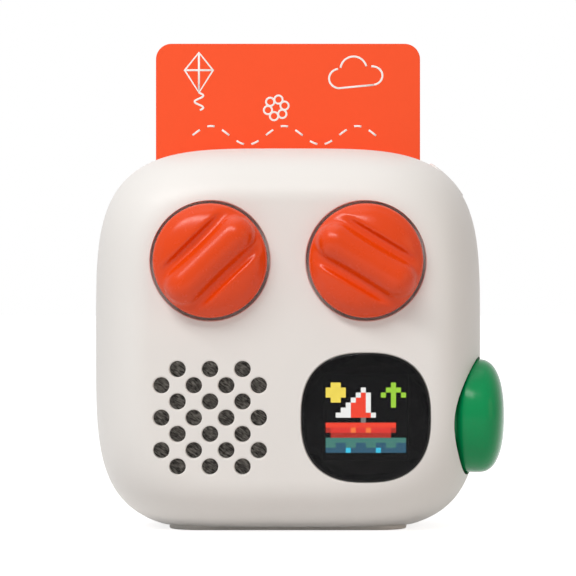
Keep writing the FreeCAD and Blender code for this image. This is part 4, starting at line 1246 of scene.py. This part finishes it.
def felted(name, dark, pale):
    """Felt: dark ground with pale fibres that mostly lie on one slant."""
    finish, tree, shader = new_finish(name, pale, 0.95)
    fibres = noise(tree, fibre_scale, detail=4, stretch=fibre_stretch, turn=fibre_turn)
    lumps = noise(tree, felt_lump_scale)
    both = tree.nodes.new("ShaderNodeMath")
    both.operation = "MULTIPLY"
    tree.links.new(spread(tree, fibres, 0.0, 1.0, 0.36, 0.66), both.inputs[0])
    tree.links.new(spread(tree, lumps, 0.45, 1.0), both.inputs[1])
    tone(tree, shader, both.outputs[0], dark, pale, 0.0, 0.8)
    relief(tree, shader, both.outputs[0], felt_depth)
    shader.inputs["Sheen Weight"].default_value = 0.25
    shader.inputs["Sheen Roughness"].default_value = 0.5
    return finish


finishes["circuit_board"] = board_finish()
finishes["cone_paper"] = porous("cone paper", (0.035, 0.033, 0.031), (0.07, 0.066, 0.06), 1600, 0.03 * mm)
finishes["foam"] = porous("black foam", (0.010, 0.010, 0.011), (0.035, 0.035, 0.037), 1200, 0.2 * mm)
finishes["felt"] = felted("felt washer", (0.02, 0.02, 0.02), (0.12, 0.12, 0.12))
finishes["acoustic_cloth"] = felted("speaker felt", (0.030, 0.028, 0.026), (0.34, 0.325, 0.30))
print("soft finishes made")

# %% Window acrylic and lights
window_dark = 0.62
window_scale = 90
light_level = 1 / (1 - window_dark) ** 2
light_scale = 1200
light_drift = 0.06


def smoked_acrylic():
    """Black acrylic that lets part of the light behind it through."""
    finish, tree, shader = new_finish("smoked acrylic", (0.006, 0.006, 0.007), 0.06)
    shader.inputs["Alpha"].default_value = window_dark
    shader.inputs["Specular IOR Level"].default_value = 0.12
    gloss(tree, shader, noise(tree, window_scale), 0.045, 0.075)
    return finish


def light_finish(letter, colour):
    """One colour of light, a little uneven, strong enough to show through the dark window."""
    finish, tree, shader = new_finish("light " + letter, (0.02, 0.02, 0.02), 0.6)
    shader.inputs["Emission Color"].default_value = (*colour, 1)
    strength = spread(tree, noise(tree, light_scale), light_level * (1 - light_drift),
                      light_level * (1 + light_drift))
    tree.links.new(strength, shader.inputs["Emission Strength"])
    return finish


finishes["lens_acrylic"] = smoked_acrylic()
picture_finishes = {".": finishes["diffuser_film"]}
for letter, colour in light_colours.items():
    picture_finishes[letter] = light_finish(letter, colour)

picture = model_picture(picture_finishes)
settle(picture, "display_diffuser", "root", "diffuser_film")

# %% [markdown]
# ## Card
# The card is a thin printed sheet with round corners and slightly eased edges. Its
# drawing is white line work: a kite, a cloud, a flower and a dashed path. Each line
# is a curve with a small round bevel, made a mesh, pressed flat and sunk half into
# the card. That keeps it crisp at any distance, where a painted image would blur.

# %% Card sheet
card_corner = 3.18 * mm
card_edge = 0.12 * mm


def model_card():
    """Card with round corners and eased edges."""
    card = rounded(block(card_low, card_high), Y, card_corner, segments=16)
    card.name = card.data.name = "story_card"
    for y_end in (card_low.y, card_high.y):
        round_rim(card, y_end, Y, card_edge, segments=2)
    smooth(card, degrees=50)
    return card


card = model_card()
settle(card, "audio_card", "card", "card_plastic")

# %% Card lines
line_width = 0.42 * mm
line_depth = 0.03 * mm
y_print = card_low.y


def line_points(place, points):
    """Points of a line given in millimetres from a place on the card."""
    x, z = place
    return [Vector(((x + across) * mm, y_print, (z + up) * mm)) for across, up in points]


def arc_points(place, radii, start, end, count=24):
    """Points of an arc about a place on the card, with its angles in degrees."""
    turns = [math.radians(start + (end - start) * step / (count - 1)) for step in range(count)]
    return line_points(place, [(radii[0] * math.cos(turn), radii[1] * math.sin(turn)) for turn in turns])


def dashes(points, on, off):
    """Cuts a long line of points into dashes of so many points each."""
    return [points[start:start + on] for start in range(0, len(points) - on + 1, on + off)]


def ink_line(points, closed):
    """One drawn line: a flat ribbon with round sides, sunk into the card's face."""
    clear_selection()
    bpy.ops.curve.primitive_bezier_curve_add(location=(0, 0, 0))
    stroke = bpy.context.object
    data = stroke.data
    data.splines.clear()
    spline = data.splines.new("POLY")
    spline.points.add(len(points) - 1)
    for place, point in zip(spline.points, points):
        place.co = (*point, 1)
    spline.use_cyclic_u = closed
    data.bevel_depth = line_width / 2
    data.bevel_resolution = 3
    data.use_fill_caps = True
    bpy.ops.object.convert(target="MESH")
    stroke = name_new("stroke")
    flatten = line_depth / line_width * 2
    for vertex in stroke.data.vertices:
        vertex.co.y = y_print + (vertex.co.y - y_print) * flatten
    return stroke


print("lines", line_width / mm, "mm wide")

# %% Card drawing
kite_place = (-18.2, 91.3)
kite_corners = [(0, 4.6), (2.9, 1.0), (0, -3.6), (-2.9, 1.0)]
tail_points = 24
tail_step = 0.25
tail_swing = 0.9
tail_curl = 1.6
tail_drop = 0.62
cloud_puffs = (((10.6, 90.6), (2.2, 2.0), 100, 260), ((13.4, 92.4), (2.7, 2.7), 15, 172),
               ((17.2, 91.2), (2.1, 1.9), -80, 95))
cloud_base = [(10.2, 88.6), (17.5, 89.3)]
flower_place = (-2.4, 84.6)
flower_radius = 1.75
petal_count = 6
petal_turn = 15
petal_radii = (0.85, 0.85)
petal_sweep = 345
petal_points = 16
path_left = -19.5
path_height = 79.0
path_step = 0.5
path_points = 79
path_swing = 1.9
path_curl = 0.42
dash_points = 4
dash_gap = 2


def kite_lines():
    """Kite with its cross and a curling tail."""
    top, right, bottom, left = kite_corners
    places = [tail_step * step for step in range(tail_points)]
    tail = [(tail_swing * math.sin(tail_curl * place), bottom[1] - tail_drop * place) for place in places]
    lines = [(line_points(kite_place, kite_corners), True)]
    for points in ([top, bottom], [left, right], tail):
        lines.append((line_points(kite_place, points), False))
    return lines


def cloud_lines():
    """Three puffs over a nearly level base."""
    lines = [(arc_points(*puff), False) for puff in cloud_puffs]
    return lines + [(line_points((0, 0), cloud_base), False)]


def flower_lines():
    """Ring of small round petals."""
    x, z = flower_place
    lines = []
    for petal in range(petal_count):
        turn = math.radians(360 / petal_count * petal + petal_turn)
        place = (x + flower_radius * math.cos(turn), z + flower_radius * math.sin(turn))
        lines.append((arc_points(place, petal_radii, 0, petal_sweep, petal_points), True))
    return lines


def path_lines():
    """Dashed wave across the card."""
    places = [path_step * step for step in range(path_points)]
    wave = [(path_left + place, path_height + path_swing * math.sin(path_curl * place)) for place in places]
    return [(dash, False) for dash in dashes(line_points((0, 0), wave), dash_points, dash_gap)]


def model_drawing():
    """White line drawing on the card's face."""
    lines = kite_lines() + cloud_lines() + flower_lines() + path_lines()
    drawing = join_tools([ink_line(points, closed) for points, closed in lines])
    drawing.name = drawing.data.name = "card_drawing"
    outward(drawing)
    return drawing


drawing = model_drawing()
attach(drawing, "card")
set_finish(drawing, "card_plastic")
white_ink = moulded("white ink", (0.93, 0.90, 0.87), 0.5, drift=0.01)
drawing.data.materials.append(white_ink)
print("card drawing has", len(drawing.data.polygons), "faces")

# %% [markdown]
# ## Finishes on the pieces
# Every piece takes the finish of its material slot. The construction nodes that show
# as they are take theirs from the record.

# %% Dress the pieces
def dress(piece, slot_name):
    """One finish for the whole piece."""
    piece.data.materials.clear()
    piece.data.materials.append(finishes[slot_name])


for piece in (front_shell, rear_shell, foot_pad, knobs["left"], knobs["right"], power_button, window,
              speaker_cloth, bezel, card):
    dress(piece, piece["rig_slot"])

for subpart in frame["record"]["subparts"]:
    node = nodes[subpart["node"]]
    dress(node, subpart["material_slot"])
print("dressed", len(nodes), "construction pieces")
